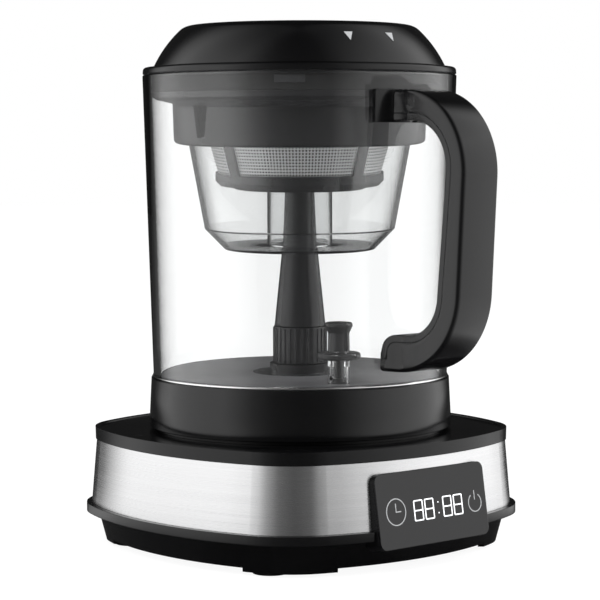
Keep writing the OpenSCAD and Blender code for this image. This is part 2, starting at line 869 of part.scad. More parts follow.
module pump_floor() {
  seal_z = floor_low + 1.8;
  reach = norm([valve_x, valve_y]);
  color(grey) on_axis() difference() {
    union() {
      rod(floor_r, floor_low, floor_high);
      rod(chamber_r + chamber_t, chamber_low, floor_low + 1);
      rotate(45) around(4, boss_ring_r) rod(floor_boss_r, boss_low + seam, floor_low + 1);
    }
    difference() {
      rod(chamber_r, chamber_low + chamber_t, floor_high);
      rod(pin_boss_r, chamber_low, impeller_low - clear);
    }
    rod(cover_r + 0.2, cover_seat, floor_high + 1);
    rod(pin_r + 0.02, chamber_low + 0.6, impeller_low);
    pipe(floor_r + 1, floor_r - seal_w, seal_z, seal_z + seal_h);
    rotate(45) around(4, boss_ring_r) rod(screw_r + pilot, boss_low - 1, boss_low + carafe_screw_len);
    valve_at() rod(barrel_r + seam, floor_high - barrel_sunk - seam, floor_high + 1);
    valve_at() rod(sump_r, floor_high - barrel_sunk - sump_h, floor_high);
    rotate(atan2(valve_y, valve_x)) translate([chamber_r - 1, 0, floor_high - barrel_sunk - sump_h / 2])
      rotate([0, 90, 0]) cylinder(r = bleed_r, h = reach - chamber_r + 1);
  }
}

module floor_seal() {
  seal_z = floor_low + 1.8;
  color(rubber) on_axis()
    pipe(floor_r + 0.2, floor_r - seal_w + seam, seal_z + seam, seal_z + seal_h - seam);
}

module pump_cover() {
  color(grey) on_axis() difference() {
    union() {
      rod(cover_r, cover_seat + seam, floor_high);
      rod(spigot_boss_r, floor_high - 1, spigot_boss_high);
      rod(spigot_r, spigot_boss_high - 1, spigot_high);
      intersection() {
        rod(lug_r, lug_low, lug_low + lug_h);
        for (a = [0, 180]) rotate(a) linear_extrude(far)
          polygon([[0, 0], 2 * polar(lug_r, -lug_angle / 2), 2 * polar(lug_r, lug_angle / 2)]);
      }
    }
    rod(spigot_bore, cover_seat, spigot_high + 1);
    around(8, (spigot_boss_r + cover_r) / 2) rod(1.5, cover_seat, floor_high + 1);
  }
}

module carafe_bottom() {
  rim = glass_r_low;
  neck = cap_r + 1;
  color(black) on_axis() difference() {
    union() {
      turned([[0, roof_low], [neck, roof_low], [neck, carafe_low], [rim, carafe_low],
        [rim, carafe_low + bottom_t], [neck + wall, carafe_low + bottom_t],
        [neck + wall, roof_low + roof_t], [0, roof_low + roof_t]]);
      rotate(45) around(4, boss_ring_r) rod(bottom_boss_r, carafe_low + bottom_t - eps, boss_low);
    }
    rotate(45) around(4, boss_ring_r) {
      rod(screw_r + 0.2, carafe_low - 1, boss_low + 1);
      rod(head_r + 0.2, carafe_low - 1, carafe_low + head_h + 0.2);
    }
  }
}

module carafe_screws() {
  color(steel) on_axis() rotate(45) around(4, boss_ring_r)
    translate([0, 0, carafe_low + head_h + 0.2 - seam]) screw(carafe_screw_len);
}

module impeller_pin() {
  color(steel) on_axis() rod(pin_r, chamber_low + 0.6 + seam, cover_seat - clear);
}

module impeller() {
  disc_high = impeller_low + impeller_disc_h;
  color(light) on_axis() difference() {
    union() {
      rod(impeller_r, impeller_low, disc_high);
      rod(hub_r, impeller_low, impeller_high);
      for (k = [0:vane_count - 1]) rotate(360 * k / vane_count + 30)
        translate([hub_r - 1, -vane_w / 2, disc_high - eps])
          cube([impeller_r - hub_r, vane_w, impeller_high - disc_high - 0.5]);
    }
    rod(pin_r + running, impeller_low - 1, impeller_high + 1);
    around(4, magnet_ring_r) rod(magnet_r + seam, impeller_low - 1, impeller_low + magnet_h + seam);
  }
}

module impeller_magnets() {
  color(steel) on_axis() around(4, magnet_ring_r) rod(magnet_r, impeller_low, impeller_low + magnet_h);
}

module pump_collar() {
  color(dark) on_axis() difference() {
    union() {
      rod(collar_r, collar_low, collar_high);
      around(rib_count, collar_r - 0.14) rod(rib_r, collar_low + 0.6, collar_high - 0.6);
    }
    rod(spigot_r + 0.1, collar_low - 1, collar_high + 1);
    rod(lug_r + 0.2, lug_low - clear, lug_low + lug_h + clear);
    intersection() {
      rod(lug_r + 0.2, collar_low - 1, lug_low);
      for (a = [0, 180]) rotate(a - twist) linear_extrude(far)
        polygon([[0, 0], 2 * polar(lug_r, -lug_angle / 2 - 2), 2 * polar(lug_r, lug_angle / 2 + 2)]);
    }
  }
}

module flow_column() {
  foot = spigot_high + clear;
  color(dark) on_axis() turned([[spigot_bore, foot], [spigot_r, foot], [spigot_r, collar_high + seam],
    [column_r_low, collar_high + seam], [column_r_mid, column_mid],
    [column_r_mid - 1, column_mid + 21], [column_r_high, column_high],
    [column_r_high - column_t, column_high], [column_r_mid - 1 - column_t, column_mid + 21],
    [column_r_mid - column_t, column_mid], [spigot_bore, collar_high + 12]]);
}

module valve_barrel() {
  color(clear_glass) on_axis() valve_at() difference() {
    rod(barrel_r, floor_high - barrel_sunk, barrel_high);
    rod(barrel_bore, floor_high - barrel_sunk - 1, barrel_high - guide_h);
    rod(valve_stem_r + running, barrel_high - guide_h - 1, barrel_high + 1);
    translate([0, 0, floor_high + 2.5]) rotate([0, 90, 0]) cylinder(r = 1, h = 4 * barrel_r, center = true);
  }
}

module valve_knob() {
  neck_low = knob_low + knob_flange_h;
  color(dark) on_axis() valve_at()
    turned([[0, floor_high], [valve_stem_r, floor_high], [valve_stem_r, knob_low],
      [knob_flange_r - 0.6, knob_low], [knob_flange_r, knob_low + 0.6],
      [knob_flange_r, neck_low - 0.6], [knob_flange_r - 0.6, neck_low], [knob_neck_r, neck_low],
      [knob_neck_r, knob_high - knob_cap_h], [knob_top_r, knob_high - 1], [knob_top_r - 0.8, knob_high],
      [0, knob_high]]);
}

module valve_seal() {
  seal_z = floor_high + 0.4;
  color(rubber) on_axis() valve_at() pipe(valve_seal_r, valve_stem_r + 0.02, seal_z, seal_z + valve_seal_h);
}

// Side view of the handle: x is the distance from the axis and y the height
module side_extrude(w) { rotate([90, 0, -90]) linear_extrude(w, center = true) children(); }
module bow(a, ra, b, rb) {
  lean = atan2(b[1] - a[1], b[0] - a[0]);
  side = acos((ra - rb) / norm(b - a));
  translate(a) circle(r = ra);
  translate(b) circle(r = rb);
  polygon([a + polar(ra - swell, lean - side), b + polar(rb - swell, lean - side),
    b + polar(rb - swell, lean + side), a + polar(ra - swell, lean + side)]);
}
// The arms run on from the bends to the axis, and the glass cuts them off
module arms(out_top, high, out_low, low) {
  polygon([[0, low + swell], [out_low, low + swell], [out_top, high - swell], [0, high - swell]]);
}
module handle_outline(grow) {
  bow([bend_out_top, bend_z_top], bend_r_top + grow, [bend_out_low, bend_z_low], bend_r_low + grow);
  arms(bend_out_top, bend_z_top + bend_r_top + grow, bend_out_low, bend_z_low - bend_r_low - grow);
}
module finger_gap(grow) {
  low = gap_low - grow;
  bow([gap_out_top, gap_z_top], gap_r_top + grow, [gap_out_low, gap_z_low], gap_r_low + grow);
  arms(gap_out_top, gap_z_top + gap_r_top + grow, gap_out_low, low);
  polygon(concat([[0, end_z - grow], [end_out - end_r + grow, end_z - grow]],
    arc(end_out, end_z, end_r - grow, 180, 90, 12), [[end_out + 1, low + 1], [0, low + 1]]));
}
module handle_plan() {
  half = handle_w / 2;
  end_x = half + flare_w;
  linear_extrude(far) polygon([[-half, -far], [half, -far], [half, -glass_r_low - flare_len],
    [end_x, -glass_r_low], [end_x, 0], [-end_x, 0], [-end_x, -glass_r_low],
    [-half, -glass_r_low - flare_len]]);
}
module glass_space(gap, z0, z1) {
  translate([0, 0, z0]) cylinder(r1 = glass_r(z0) + gap, r2 = glass_r(z1) + gap, h = z1 - z0);
}
module handle_screws_at() {
  for (s = [-1, 1]) translate([s * handle_screw_x, -glass_r(handle_screw_z) - 2, handle_screw_z])
    rotate([90, 0, 0]) children();
}
module handle_cuts() {
  glass_space(bond, ring_high, glass_high);
  glass_space(bracket_pad + bond, bracket_z - seam, bracket_z + bracket_h + seam);
}

module handle_outer() {
  color(black) on_axis() difference() {
    intersection() {
      side_extrude(handle_w + 2 * flare_w) difference() {
        handle_outline(0);
        finger_gap(inner_shell_t + seam);
      }
      handle_plan();
    }
    side_extrude(handle_w - 2 * handle_wall) intersection() {
      difference() {
        handle_outline(-handle_wall);
        finger_gap(inner_shell_t / 2);
      }
      translate([hollow_from, 0]) square(far);
    }
    handle_cuts();
    handle_screws_at() cylinder(r = screw_r + pilot, h = handle_screw_len + 0.5);
  }
}

module handle_inner() {
  color(black) on_axis() difference() {
    intersection() {
      side_extrude(handle_w + 2 * flare_w) difference() {
        finger_gap(inner_shell_t);
        finger_gap(0);
      }
      handle_plan();
    }
    handle_cuts();
  }
}

module handle_bracket() {
  span = 2 * tan(bracket_angle) * lid_r;
  color(black) on_axis() difference() {
    intersection() {
      glass_space(bracket_pad, bracket_z, bracket_z + bracket_h);
      linear_extrude(far) polygon([[0, 0], [-span, -2 * lid_r], [span, -2 * lid_r]]);
    }
    glass_space(bond, bracket_z - 1, bracket_z + bracket_h + 1);
    translate([-notch_w / 2, -2 * lid_r, bracket_z - 1]) cube([notch_w, 2 * lid_r, notch_h + 1]);
    handle_screws_at() cylinder(r = screw_r + 0.2, h = far / 10);
    handle_screws_at() translate([0, 0, -far / 10]) cylinder(r = head_r + 0.15, h = far / 10);
  }
}

module handle_screws() {
  color(steel) on_axis() handle_screws_at() translate([0, 0, -seam]) screw(handle_screw_len);
}

module basket_holder() {
  wall_low = holder_r - holder_draft;
  inner = holder_r - holder_t;
  color(black) on_axis() difference() {
    turned(concat(
      [[cup_r + 0.5, holder_low + holder_t], [cup_r + 0.5, holder_low]],
      arc(wall_low - holder_round, holder_low + holder_round, holder_round, -90, 0, 6),
      [[holder_r, flare_low], [holder_r + 4.6, flare_low + 1.7], [holder_r + 8, flare_low + 3.2],
        [rim_r, flare_low + 5], [rim_r, seal_low], [rim_r - rim_seal_w, seal_low],
        [rim_r - rim_seal_w, seal_low + rim_seal_h], [rim_r, seal_low + rim_seal_h],
        [rim_r, holder_flange_low], [holder_flange_r, holder_flange_low],
        [holder_flange_r, holder_flange_low + holder_flange_t],
        [rim_bore, holder_flange_low + holder_flange_t], [rim_bore, flare_low + 5.6],
        [inner + 5.4, flare_low + 3.8], [inner, flare_low + 2.2],
        [inner - holder_draft, holder_low + holder_t]]));
    rotate(180) rotate([90, 0, 90]) linear_extrude(far) polygon([[-slot_half / 2, slot_low],
      [slot_half / 2, slot_low], [slot_half, flare_low - 0.6], [-slot_half, flare_low - 0.6]]);
  }
}

module rim_seal() {
  color(rubber) on_axis()
    pipe(rim_r + 0.1, rim_r - rim_seal_w + seam, seal_low + seam, seal_low + rim_seal_h - seam);
}

module brew_cup() {
  slope = (cup_r - cup_r_low) / (cup_depth - cup_chamfer);
  foot = cup_r_low - cup_chamfer;
  flange_top = cup_flange_low + cup_flange_t;
  color(clear_glass) on_axis() turned([[tube_r - tube_t, cup_low], [foot, cup_low],
    [cup_r_low, cup_low + cup_chamfer], [cup_r, cup_flange_low], [cup_flange_r, cup_flange_low],
    [cup_flange_r, flange_top], [cup_r - cup_t + slope * cup_flange_t, flange_top],
    [cup_r_low - cup_t, cup_low + cup_chamfer + 0.7], [foot - 0.7, cup_low + cup_t],
    [tube_r, cup_low + cup_t], [tube_r, tube_high], [tube_r - tube_t, tube_high]]);
}

module spray_head() {
  collar_out = tube_r - tube_t - 0.1;
  color(dark) on_axis() difference() {
    union() {
      rod(tube_r, tube_high + seam, tube_high + spray_t);
      rod(collar_out, tube_high - spray_collar, tube_high + 1);
    }
    rod(collar_out - 1.4, tube_high - spray_collar - 1, tube_high + seam);
    around(8, 8.5) rod(spray_hole_r, tube_high - 1, tube_high + spray_t + 1);
  }
}

module filter_frame() {
  floor_z = filter_low + filter_step_h;
  tube_out = filter_tube_r + filter_tube_t;
  flange_top = filter_flange_low + filter_flange_t;
  mesh_high = mesh_low + mesh_h;
  rim_in = filter_r_low - filter_wall - 0.4;
  color(dark) on_axis() {
    turned([[filter_tube_r, filter_low], [filter_step_r, filter_low],
      [filter_step_r + 1.5, floor_z], [filter_r_low - 2, floor_z], [filter_r_low, floor_z + 2],
      [filter_r_low, mesh_low], [rim_in, mesh_low], [rim_in, floor_z + 1.8],
      [tube_out, floor_z + 1.8], [tube_out, flange_top], [filter_tube_r, flange_top]]);
    turned([[filter_r_high - 1.6, mesh_high], [filter_r_high, mesh_high],
      [filter_r_high + 0.6, filter_flange_low], [filter_flange_r, filter_flange_low],
      [filter_flange_r, flange_top], [filter_r_high - 1, flange_top]]);
    intersection() {
      turned([[filter_r_low - filter_wall, mesh_low - 1], [filter_r_low, mesh_low - 1],
        [filter_r_low, mesh_low], [filter_r_high, mesh_high], [filter_r_high, mesh_high + 1],
        [filter_r_high - filter_wall, mesh_high + 1], [filter_r_high - filter_wall, mesh_high],
        [filter_r_low - filter_wall, mesh_low]]);
      for (a = [0, 90]) rotate(a) translate([-far / 2, -filter_rib_w / 2, filter_low])
        cube([far, filter_rib_w, filter_depth]);
    }
  }
}

module filter_mesh() {
  out = filter_wall + seam;
  color(steel) on_axis() turned([[filter_r_low - out - mesh_t, mesh_low + seam],
    [filter_r_low - out, mesh_low + seam], [filter_r_high - out, mesh_low + mesh_h - seam],
    [filter_r_high - out - mesh_t, mesh_low + mesh_h - seam]]);
}

module lid_ring() {
  gasket_half = gasket_w / 2 + seam;
  color(black) on_axis() difference() {
    turned([[lid_plug_r - wall, lid_plate_low - lid_plug_h], [lid_plug_r, lid_plate_low - lid_plug_h],
      [lid_plug_r, lid_plate_low], [lid_r - lid_skirt_t, lid_plate_low], [lid_r - lid_skirt_t, lid_low],
      [lid_r, lid_low], [lid_r, lid_seam - 0.5], [lid_r - 0.5, lid_seam], [lid_collar_r, lid_seam],
      [lid_collar_r, lid_seam + lid_collar_h], [lid_collar_r - wall, lid_seam + lid_collar_h],
      [lid_collar_r - wall, lid_plate_low]]);
    pipe(gasket_r + gasket_half, gasket_r - gasket_half, lid_plate_low - 1, lid_plate_low + gasket_h + seam);
  }
}

module lid_gasket() {
  color(rubber) on_axis()
    pipe(gasket_r + gasket_w / 2, gasket_r - gasket_w / 2, lid_plate_low, lid_plate_low + gasket_h);
}

// Outline of the dome from its foot to the middle of its top, drawn in by an inset
function dome_edge(inset) = concat(
  arc(dome_cx, dome_cz, dome_side_r - inset,
    asin((dome_low - dome_cz) / (dome_side_r - inset)), dome_turn, 10),
  arc(shoulder_cx, shoulder_cz, dome_corner_r - inset, dome_turn + 5, 88, 8),
  [for (k = [4:-1:0]) [shoulder_cx * k / 5, lid_high - inset - crown * pow(k / 5, 2)]]);

module lid_dome() {
  color(black) on_axis() turned(concat(dome_edge(0), reversed(dome_edge(dome_t))));
}

module lid_marks() {
  color(light) on_axis() for (a = mark_angles) rotate(a)
    translate([0, -dome_cx, dome_cz]) rotate([90 - mark_slope, 0, 0])
      translate([0, 0, dome_side_r + mark_lift]) linear_extrude(mark_t)
        polygon([[-mark_w / 2, mark_h * 0.4], [mark_w / 2, mark_h * 0.4], [0, -mark_h * 0.6]]);
}

lower_housing();
steel_band();
tray();
bottom_cover();
rubber_feet();
base_screws();
panel_window();
panel_housing();
panel_digits();
panel_icons();
display_board();
control_board();
board_screws();
board_cable();
motor();
motor_bracket();
motor_screws();
bracket_screws();
power_inlet();
inlet_nut();
motor_shaft();
drive_rotor();
drive_magnets();
carafe_glass();
carafe_ring();
pump_floor();
floor_seal();
pump_cover();
carafe_bottom();
carafe_screws();
impeller_pin();
valve_barrel();
handle_outer();
handle_inner();
handle_bracket();
handle_screws();
impeller();
impeller_magnets();
pump_collar();
flow_column();
valve_knob();
valve_seal();
basket_holder();
rim_seal();
brew_cup();
spray_head();
filter_frame();
filter_mesh();
lid_ring();
lid_gasket();
lid_dome();
lid_marks();
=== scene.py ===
"""Cold brew coffee maker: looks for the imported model, with camera, studio and materials."""

import json
import math

import bmesh
import bpy
from mathutils import Matrix, Vector


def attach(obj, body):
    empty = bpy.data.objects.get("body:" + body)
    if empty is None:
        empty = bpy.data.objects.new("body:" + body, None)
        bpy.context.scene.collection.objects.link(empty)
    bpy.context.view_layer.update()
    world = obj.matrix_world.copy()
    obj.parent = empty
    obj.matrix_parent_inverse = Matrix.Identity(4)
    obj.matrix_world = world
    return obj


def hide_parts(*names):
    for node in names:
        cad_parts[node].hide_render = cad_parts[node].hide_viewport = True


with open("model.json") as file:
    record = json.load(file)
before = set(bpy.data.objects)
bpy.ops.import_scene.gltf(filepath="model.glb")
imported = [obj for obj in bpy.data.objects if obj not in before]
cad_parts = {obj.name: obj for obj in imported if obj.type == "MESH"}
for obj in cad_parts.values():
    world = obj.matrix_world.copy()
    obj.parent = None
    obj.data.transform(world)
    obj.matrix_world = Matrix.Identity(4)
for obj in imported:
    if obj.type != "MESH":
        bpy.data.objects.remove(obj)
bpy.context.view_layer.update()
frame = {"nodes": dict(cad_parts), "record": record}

MM = 0.001
TURNS = 256
SHARP = math.radians(32)

# Sizes in millimetres, as in the part's source
AXIS_Y = 12.1
GLASS_R, FLARE, GLASS_T = 67.7, 0.0308, 3.2
GLASS_LOW, FLOOR_Z, GLASS_TOP = 73.8, 79.15, 215.6
LID_R, LID_SEAM = 72.0, 219.1
HANDLE_W = 21.7

# The shot's camera, in metres and degrees, and the studio's fixed directions
CAMERA_AT = (-0.6853, -0.7508, 0.18317)
CAMERA_PITCH, CAMERA_ROLL = -3.948, -0.143
LENS, SENSOR, CLIP = 133.55, 36.0, (0.05, 50.0)
SHOT_FRONT, SHOT_RIGHT = (-0.6682, -0.7439, 0.0), (0.7439, -0.6682, 0.0)


def glass_r(z):
    """The glass wall's outer radius at a height: it widens upwards."""
    return GLASS_R + (z - FLOOR_Z) * FLARE


# Camera


def make_camera():
    """The photo's camera: it faces the carafe's axis, tipped down and rolled a little."""
    cam = bpy.data.cameras.new("camera")
    cam.lens, cam.sensor_width = LENS, SENSOR
    cam.clip_start, cam.clip_end = CLIP
    obj = bpy.data.objects.new("camera", cam)
    bpy.context.scene.collection.objects.link(obj)
    flat = (Vector((0, AXIS_Y * MM, 0)) - Vector(CAMERA_AT)).to_2d().normalized()
    pitch, roll = math.radians(CAMERA_PITCH), math.radians(CAMERA_ROLL)
    ahead = Vector((flat.x * math.cos(pitch), flat.y * math.cos(pitch), math.sin(pitch)))
    right = Vector((flat.y, -flat.x, 0))
    up = right.cross(ahead)
    rolled_right = right * math.cos(roll) + up * math.sin(roll)
    rolled_up = up * math.cos(roll) - right * math.sin(roll)
    m = Matrix((rolled_right, rolled_up, -ahead)).transposed().to_4x4()
    m.translation = Vector(CAMERA_AT)
    obj.matrix_world = m
    bpy.context.scene.camera = obj


make_camera()
bpy.context.scene.view_settings.view_transform = "Standard"

# Node helpers


class Tree:
    """A small builder for node trees."""

    def __init__(self, tree):
        self.t = tree
        tree.nodes.clear()

    def node(self, kind, inputs=None, **props):
        n = self.t.nodes.new(kind)
        for k, v in props.items():
            setattr(n, k, v)
        for k, v in (inputs or {}).items():
            if isinstance(v, bpy.types.NodeSocket):
                self.t.links.new(v, n.inputs[k])
            else:
                n.inputs[k].default_value = v
        return n

    def math(self, op, a, b=0.0):
        return self.node("ShaderNodeMath", {0: a, 1: b}, operation=op).outputs[0]

    def vector(self, op, a, b=(0, 0, 0)):
        return self.node("ShaderNodeVectorMath", {0: a, 1: b}, operation=op).outputs["Value"]

    def ramp(self, fac, stops):
        n = self.node("ShaderNodeValToRGB", {"Fac": fac})
        n.color_ramp.interpolation = "LINEAR"
        e = n.color_ramp.elements
        while len(e) < len(stops):
            e.new(0.5)
        for el, (pos, v) in zip(e, stops):
            el.position = pos
            el.color = (v, v, v, 1) if isinstance(v, float) else (*v, 1)
        return n.outputs["Color"]

    def noise(self, vector, scale, detail=3.0, rough=0.55):
        return self.node("ShaderNodeTexNoise", {"Vector": vector, "Scale": scale, "Detail": detail,
                                                "Roughness": rough}).outputs["Fac"]

    def remap(self, value, a, b, c, d):
        return self.node("ShaderNodeMapRange", {"Value": value, "From Min": a, "From Max": b,
                                                "To Min": c, "To Max": d}).outputs["Result"]

    def swing(self, noise, c, d):
        """Spreads a noise's common values from c to d."""
        return self.remap(noise, 0.3, 0.7, c, d)

    def mix(self, fac, a, b):
        return self.node("ShaderNodeMix", {"Factor": fac, 2: a, 3: b}, data_type="FLOAT").outputs[0]

    def mix_color(self, fac, a, b):
        return self.node("ShaderNodeMix", {"Factor": fac, 6: a, 7: b}, data_type="RGBA").outputs[2]

    def bump(self, height, distance, strength, normal=None):
        inputs = {"Height": height, "Distance": distance, "Strength": strength}
        if normal is not None:
            inputs["Normal"] = normal
        return self.node("ShaderNodeBump", inputs).outputs["Normal"]

    def bevel(self, radius):
        return self.node("ShaderNodeBevel", {"Radius": radius}, samples=4).outputs["Normal"]

    def place(self, scale=(1, 1, 1)):
        tc = self.node("ShaderNodeTexCoord")
        mapping = self.node("ShaderNodeMapping", {"Vector": tc.outputs["Object"], "Scale": scale})
        return mapping.outputs["Vector"]


def new_material(name):
    m = bpy.data.materials.new(name)
    m.use_nodes = True
    return m, Tree(m.node_tree)


def finish_material(t, shader):
    t.node("ShaderNodeOutputMaterial", {"Surface": shader})


# How fine the noises are, per metre, how deep their relief is, in metres, and how far they change a finish
PATCH_SCALE, SCUFF_SCALE, HAZE_SCALE, WAVE_SCALE, GLOW_SCALE = 38.0, 260.0, 60.0, 14.0, 420.0
GRAIN_DEPTH, STREAK_DEPTH, WAVE_DEPTH = 0.00002, 0.00003, 0.0002
PATCHED, WORN_ROUGH, STREAK_SHADE, STREAK_ROUGH, HAZE = 0.12, 0.25, 0.08, 0.07, 0.015


def edge_mask(t, bevel_normal):
    """Near 1 where the rounded normal leaves the surface's own, along its edges."""
    geo = t.node("ShaderNodeNewGeometry")
    return t.remap(t.vector("DOT_PRODUCT", bevel_normal, geo.outputs["Normal"]), 0.995, 0.9, 0.0, 1.0)


def plastic(name, color, rough, spread, bump, grain, bevel, wear, specular=0.5):
    """Moulded plastic: fine grain, patches in its gloss, and edges that catch the light and show wear."""
    worn = (*[c * 1.9 + 0.012 for c in color], 1)
    patched = (*[c * 1.4 + 0.002 for c in color], 1)
    m, t = new_material(name)
    v = t.place()
    patches = t.noise(v, PATCH_SCALE, 4.0)
    fine = t.noise(v, grain, 2.0)
    rounding = t.bevel(bevel)
    scuff = t.math("MULTIPLY", edge_mask(t, rounding), t.remap(t.noise(v, SCUFF_SCALE), 0.35, 0.7, 0.0, wear))
    r = t.math("ADD", t.swing(patches, rough - spread, rough + spread), t.math("MULTIPLY", scuff, WORN_ROUGH))
    tint = t.mix_color(t.swing(patches, 0.0, PATCHED), t.mix_color(scuff, (*color, 1), worn), patched)
    p = t.node("ShaderNodeBsdfPrincipled", {"Base Color": tint, "Roughness": r,
                                            "Specular IOR Level": specular,
                                            "Normal": t.bump(fine, GRAIN_DEPTH, bump, rounding)})
    finish_material(t, p.outputs[0])
    return m


def brushed(name, color, rough, along, scale, aniso, metal=1.0):
    """Brushed metal: streaks in colour, gloss and bump, drawn out along the brushing."""
    m, t = new_material(name)
    v = t.place(along)
    streak = t.noise(v, scale, 6.0, 0.7)
    broad = t.noise(v, scale * 0.22, 3.0, 0.5)
    lines = t.remap(streak, 0.25, 0.75, 0.0, 1.0)
    darker = tuple(c * (1 - STREAK_SHADE) for c in color)
    lighter = tuple(min(1.0, c * (1 + STREAK_SHADE)) for c in color)
    col = t.ramp(lines, [(0.0, darker), (0.5, color), (1.0, lighter)])
    r = t.math("ADD", t.remap(lines, 0.0, 1.0, rough - STREAK_ROUGH, rough + STREAK_ROUGH),
               t.swing(broad, -0.02, 0.03))
    tan = t.node("ShaderNodeTangent", direction_type="RADIAL", axis="Z")
    p = t.node("ShaderNodeBsdfPrincipled", {"Base Color": col, "Metallic": metal, "Roughness": r,
                                            "Anisotropic": aniso, "Anisotropic Rotation": 0.25,
                                            "Tangent": tan.outputs[0],
                                            "Normal": t.bump(streak, STREAK_DEPTH, 0.07, t.bevel(0.0003))})
    finish_material(t, p.outputs[0])
    return m


def clear(name, color, ior, rough, tint):
    """Clear glass or plastic that lets the lamps through to what is inside."""
    m, t = new_material(name)
    v = t.place()
    r = t.remap(t.noise(v, HAZE_SCALE), 0.35, 0.75, rough, rough + HAZE)
    wave = t.bump(t.noise(v, WAVE_SCALE, 2.0), WAVE_DEPTH, 0.01)
    p = t.node("ShaderNodeBsdfPrincipled", {"Base Color": (*color, 1), "Transmission Weight": 1.0, "IOR": ior,
                                            "Roughness": r, "Normal": wave})
    lp = t.node("ShaderNodeLightPath")
    through = t.math("MAXIMUM", lp.outputs["Is Shadow Ray"], lp.outputs["Is Diffuse Ray"])
    tr = t.node("ShaderNodeBsdfTransparent", {"Color": (tint, tint, tint, 1)})
    mix = t.node("ShaderNodeMixShader", {0: through, 1: p.outputs[0], 2: tr.outputs[0]})
    finish_material(t, mix.outputs[0])
    return m


def painted_glow(name, color, strength):
    """Printed legends and segments on the display, made to glow though they are no lamp: painted light, with
    a faint unevenness in it.
    """
    m, t = new_material(name)
    glow = t.swing(t.noise(t.place(), GLOW_SCALE, 2.0), strength * 0.92, strength * 1.04)
    p = t.node("ShaderNodeBsdfPrincipled", {"Base Color": (*color, 1), "Roughness": 0.4,
                                            "Emission Color": (*color, 1), "Emission Strength": glow})
    finish_material(t, p.outputs[0])
    return m


EVEN = (1, 1, 1)
FINISHES = {
    "gloss_black": (plastic, dict(color=(0.0035, 0.0035, 0.0038), rough=0.15, spread=0.03, bump=0.012,
                                  grain=1100.0, bevel=0.0005, wear=0.2)),
    "tray_black": (plastic, dict(color=(0.003, 0.003, 0.0033), rough=0.2, spread=0.04, bump=0.02,
                                 grain=1100.0, bevel=0.0005, wear=0.2, specular=0.35)),
    "window_black": (plastic, dict(color=(0.004, 0.004, 0.0045), rough=0.1, spread=0.02, bump=0.004,
                                   grain=1100.0, bevel=0.0005, wear=0.15)),
    "matte_black": (plastic, dict(color=(0.010, 0.010, 0.011), rough=0.5, spread=0.08, bump=0.25,
                                  grain=1500.0, bevel=0.0003, wear=0.3)),
    "dark_plastic": (plastic, dict(color=(0.021, 0.021, 0.022), rough=0.22, spread=0.04, bump=0.05,
                                   grain=1200.0, bevel=0.0004, wear=0.25)),
    "tab_plastic": (plastic, dict(color=(0.036, 0.036, 0.038), rough=0.45, spread=0.05, bump=0.06,
                                  grain=1200.0, bevel=0.0003, wear=0.25)),
    "grey_plastic": (plastic, dict(color=(0.12, 0.12, 0.125), rough=0.34, spread=0.05, bump=0.06,
                                   grain=1200.0, bevel=0.0004, wear=0.25)),
    "white_plastic": (plastic, dict(color=(0.72, 0.72, 0.71), rough=0.4, spread=0.06, bump=0.1,
                                    grain=1200.0, bevel=0.0003, wear=0.2)),
    "brushed_steel": (brushed, dict(color=(0.78, 0.78, 0.785), rough=0.25, along=(0.6, 0.6, 90.0), scale=34.0,
                                    aniso=0.85)),
    "mesh_steel": (brushed, dict(color=(0.93, 0.93, 0.935), rough=0.4, along=(1, 1, 30), scale=40.0,
                                 aniso=0.0, metal=0.3)),
    # A darker steel for the inside of the filter's mesh: painted shade, where the mesh's inside lies in
    # shade.
    "mesh_shade": (brushed, dict(color=(0.2, 0.2, 0.205), rough=0.5, along=(1, 1, 30), scale=40.0,
                                 aniso=0.0, metal=0.6)),
    # The bead at the glass's foot is mirror metal: a painted glint.
    "glass_foot": (brushed, dict(color=(0.95, 0.95, 0.95), rough=0.12, along=EVEN, scale=60.0, aniso=0.0)),
    "screw_steel": (brushed, dict(color=(0.55, 0.55, 0.55), rough=0.3, along=EVEN, scale=300.0, aniso=0.0)),
    "motor_steel": (brushed, dict(color=(0.5, 0.5, 0.51), rough=0.35, along=(1, 1, 40), scale=60.0,
                                  aniso=0.4)),
    "magnet": (brushed, dict(color=(0.62, 0.62, 0.64), rough=0.15, along=EVEN, scale=200.0, aniso=0.0)),
    "rubber": (plastic, dict(color=(0.02, 0.02, 0.02), rough=0.75, spread=0.08, bump=0.35,
                             grain=1800.0, bevel=0.0004, wear=0.3, specular=0.3)),
    "glass": (clear, dict(color=(0.985, 0.99, 0.99), ior=1.5, rough=0.0, tint=0.97)),
    "clear_plastic": (clear, dict(color=(0.93, 0.935, 0.935), ior=1.49, rough=0.01, tint=0.94)),
    # The legends glow though they are print: painted light.
    "legend_white": (painted_glow, dict(color=(0.92, 0.94, 0.96), strength=0.85)),
    "legend_grey": (painted_glow, dict(color=(0.5, 0.51, 0.52), strength=0.12)),
    "circuit_board": (plastic, dict(color=(0.02, 0.12, 0.05), rough=0.35, spread=0.05, bump=0.1,
                                    grain=900.0, bevel=0.0002, wear=0.2)),
    "ribbon": (plastic, dict(color=(0.3, 0.3, 0.31), rough=0.5, spread=0.05, bump=0.1,
                             grain=900.0, bevel=0.0002, wear=0.2)),
}
MAT = {name: make(name, **values) for name, (make, values) in FINISHES.items()}

# Each node takes its slot's finish, apart from two that look different from the rest of their slot
SLOT = {s["node"]: s["material_slot"] for s in frame["record"]["subparts"]}
LOOK = {"tray": "tray_black", "pump_cover": "dark_plastic"}

for name, obj in frame["nodes"].items():
    look = MAT[LOOK.get(name, SLOT[name])]
    if not obj.material_slots:
        obj.data.materials.append(look)
    for s in obj.material_slots:
        s.material = look

# Mesh helpers


def smooth(mesh):
    """Shades a mesh smooth, apart from its sharp edges."""
    for p in mesh.polygons:
        p.use_smooth = True
    mesh.set_sharp_from_angle(angle=SHARP)


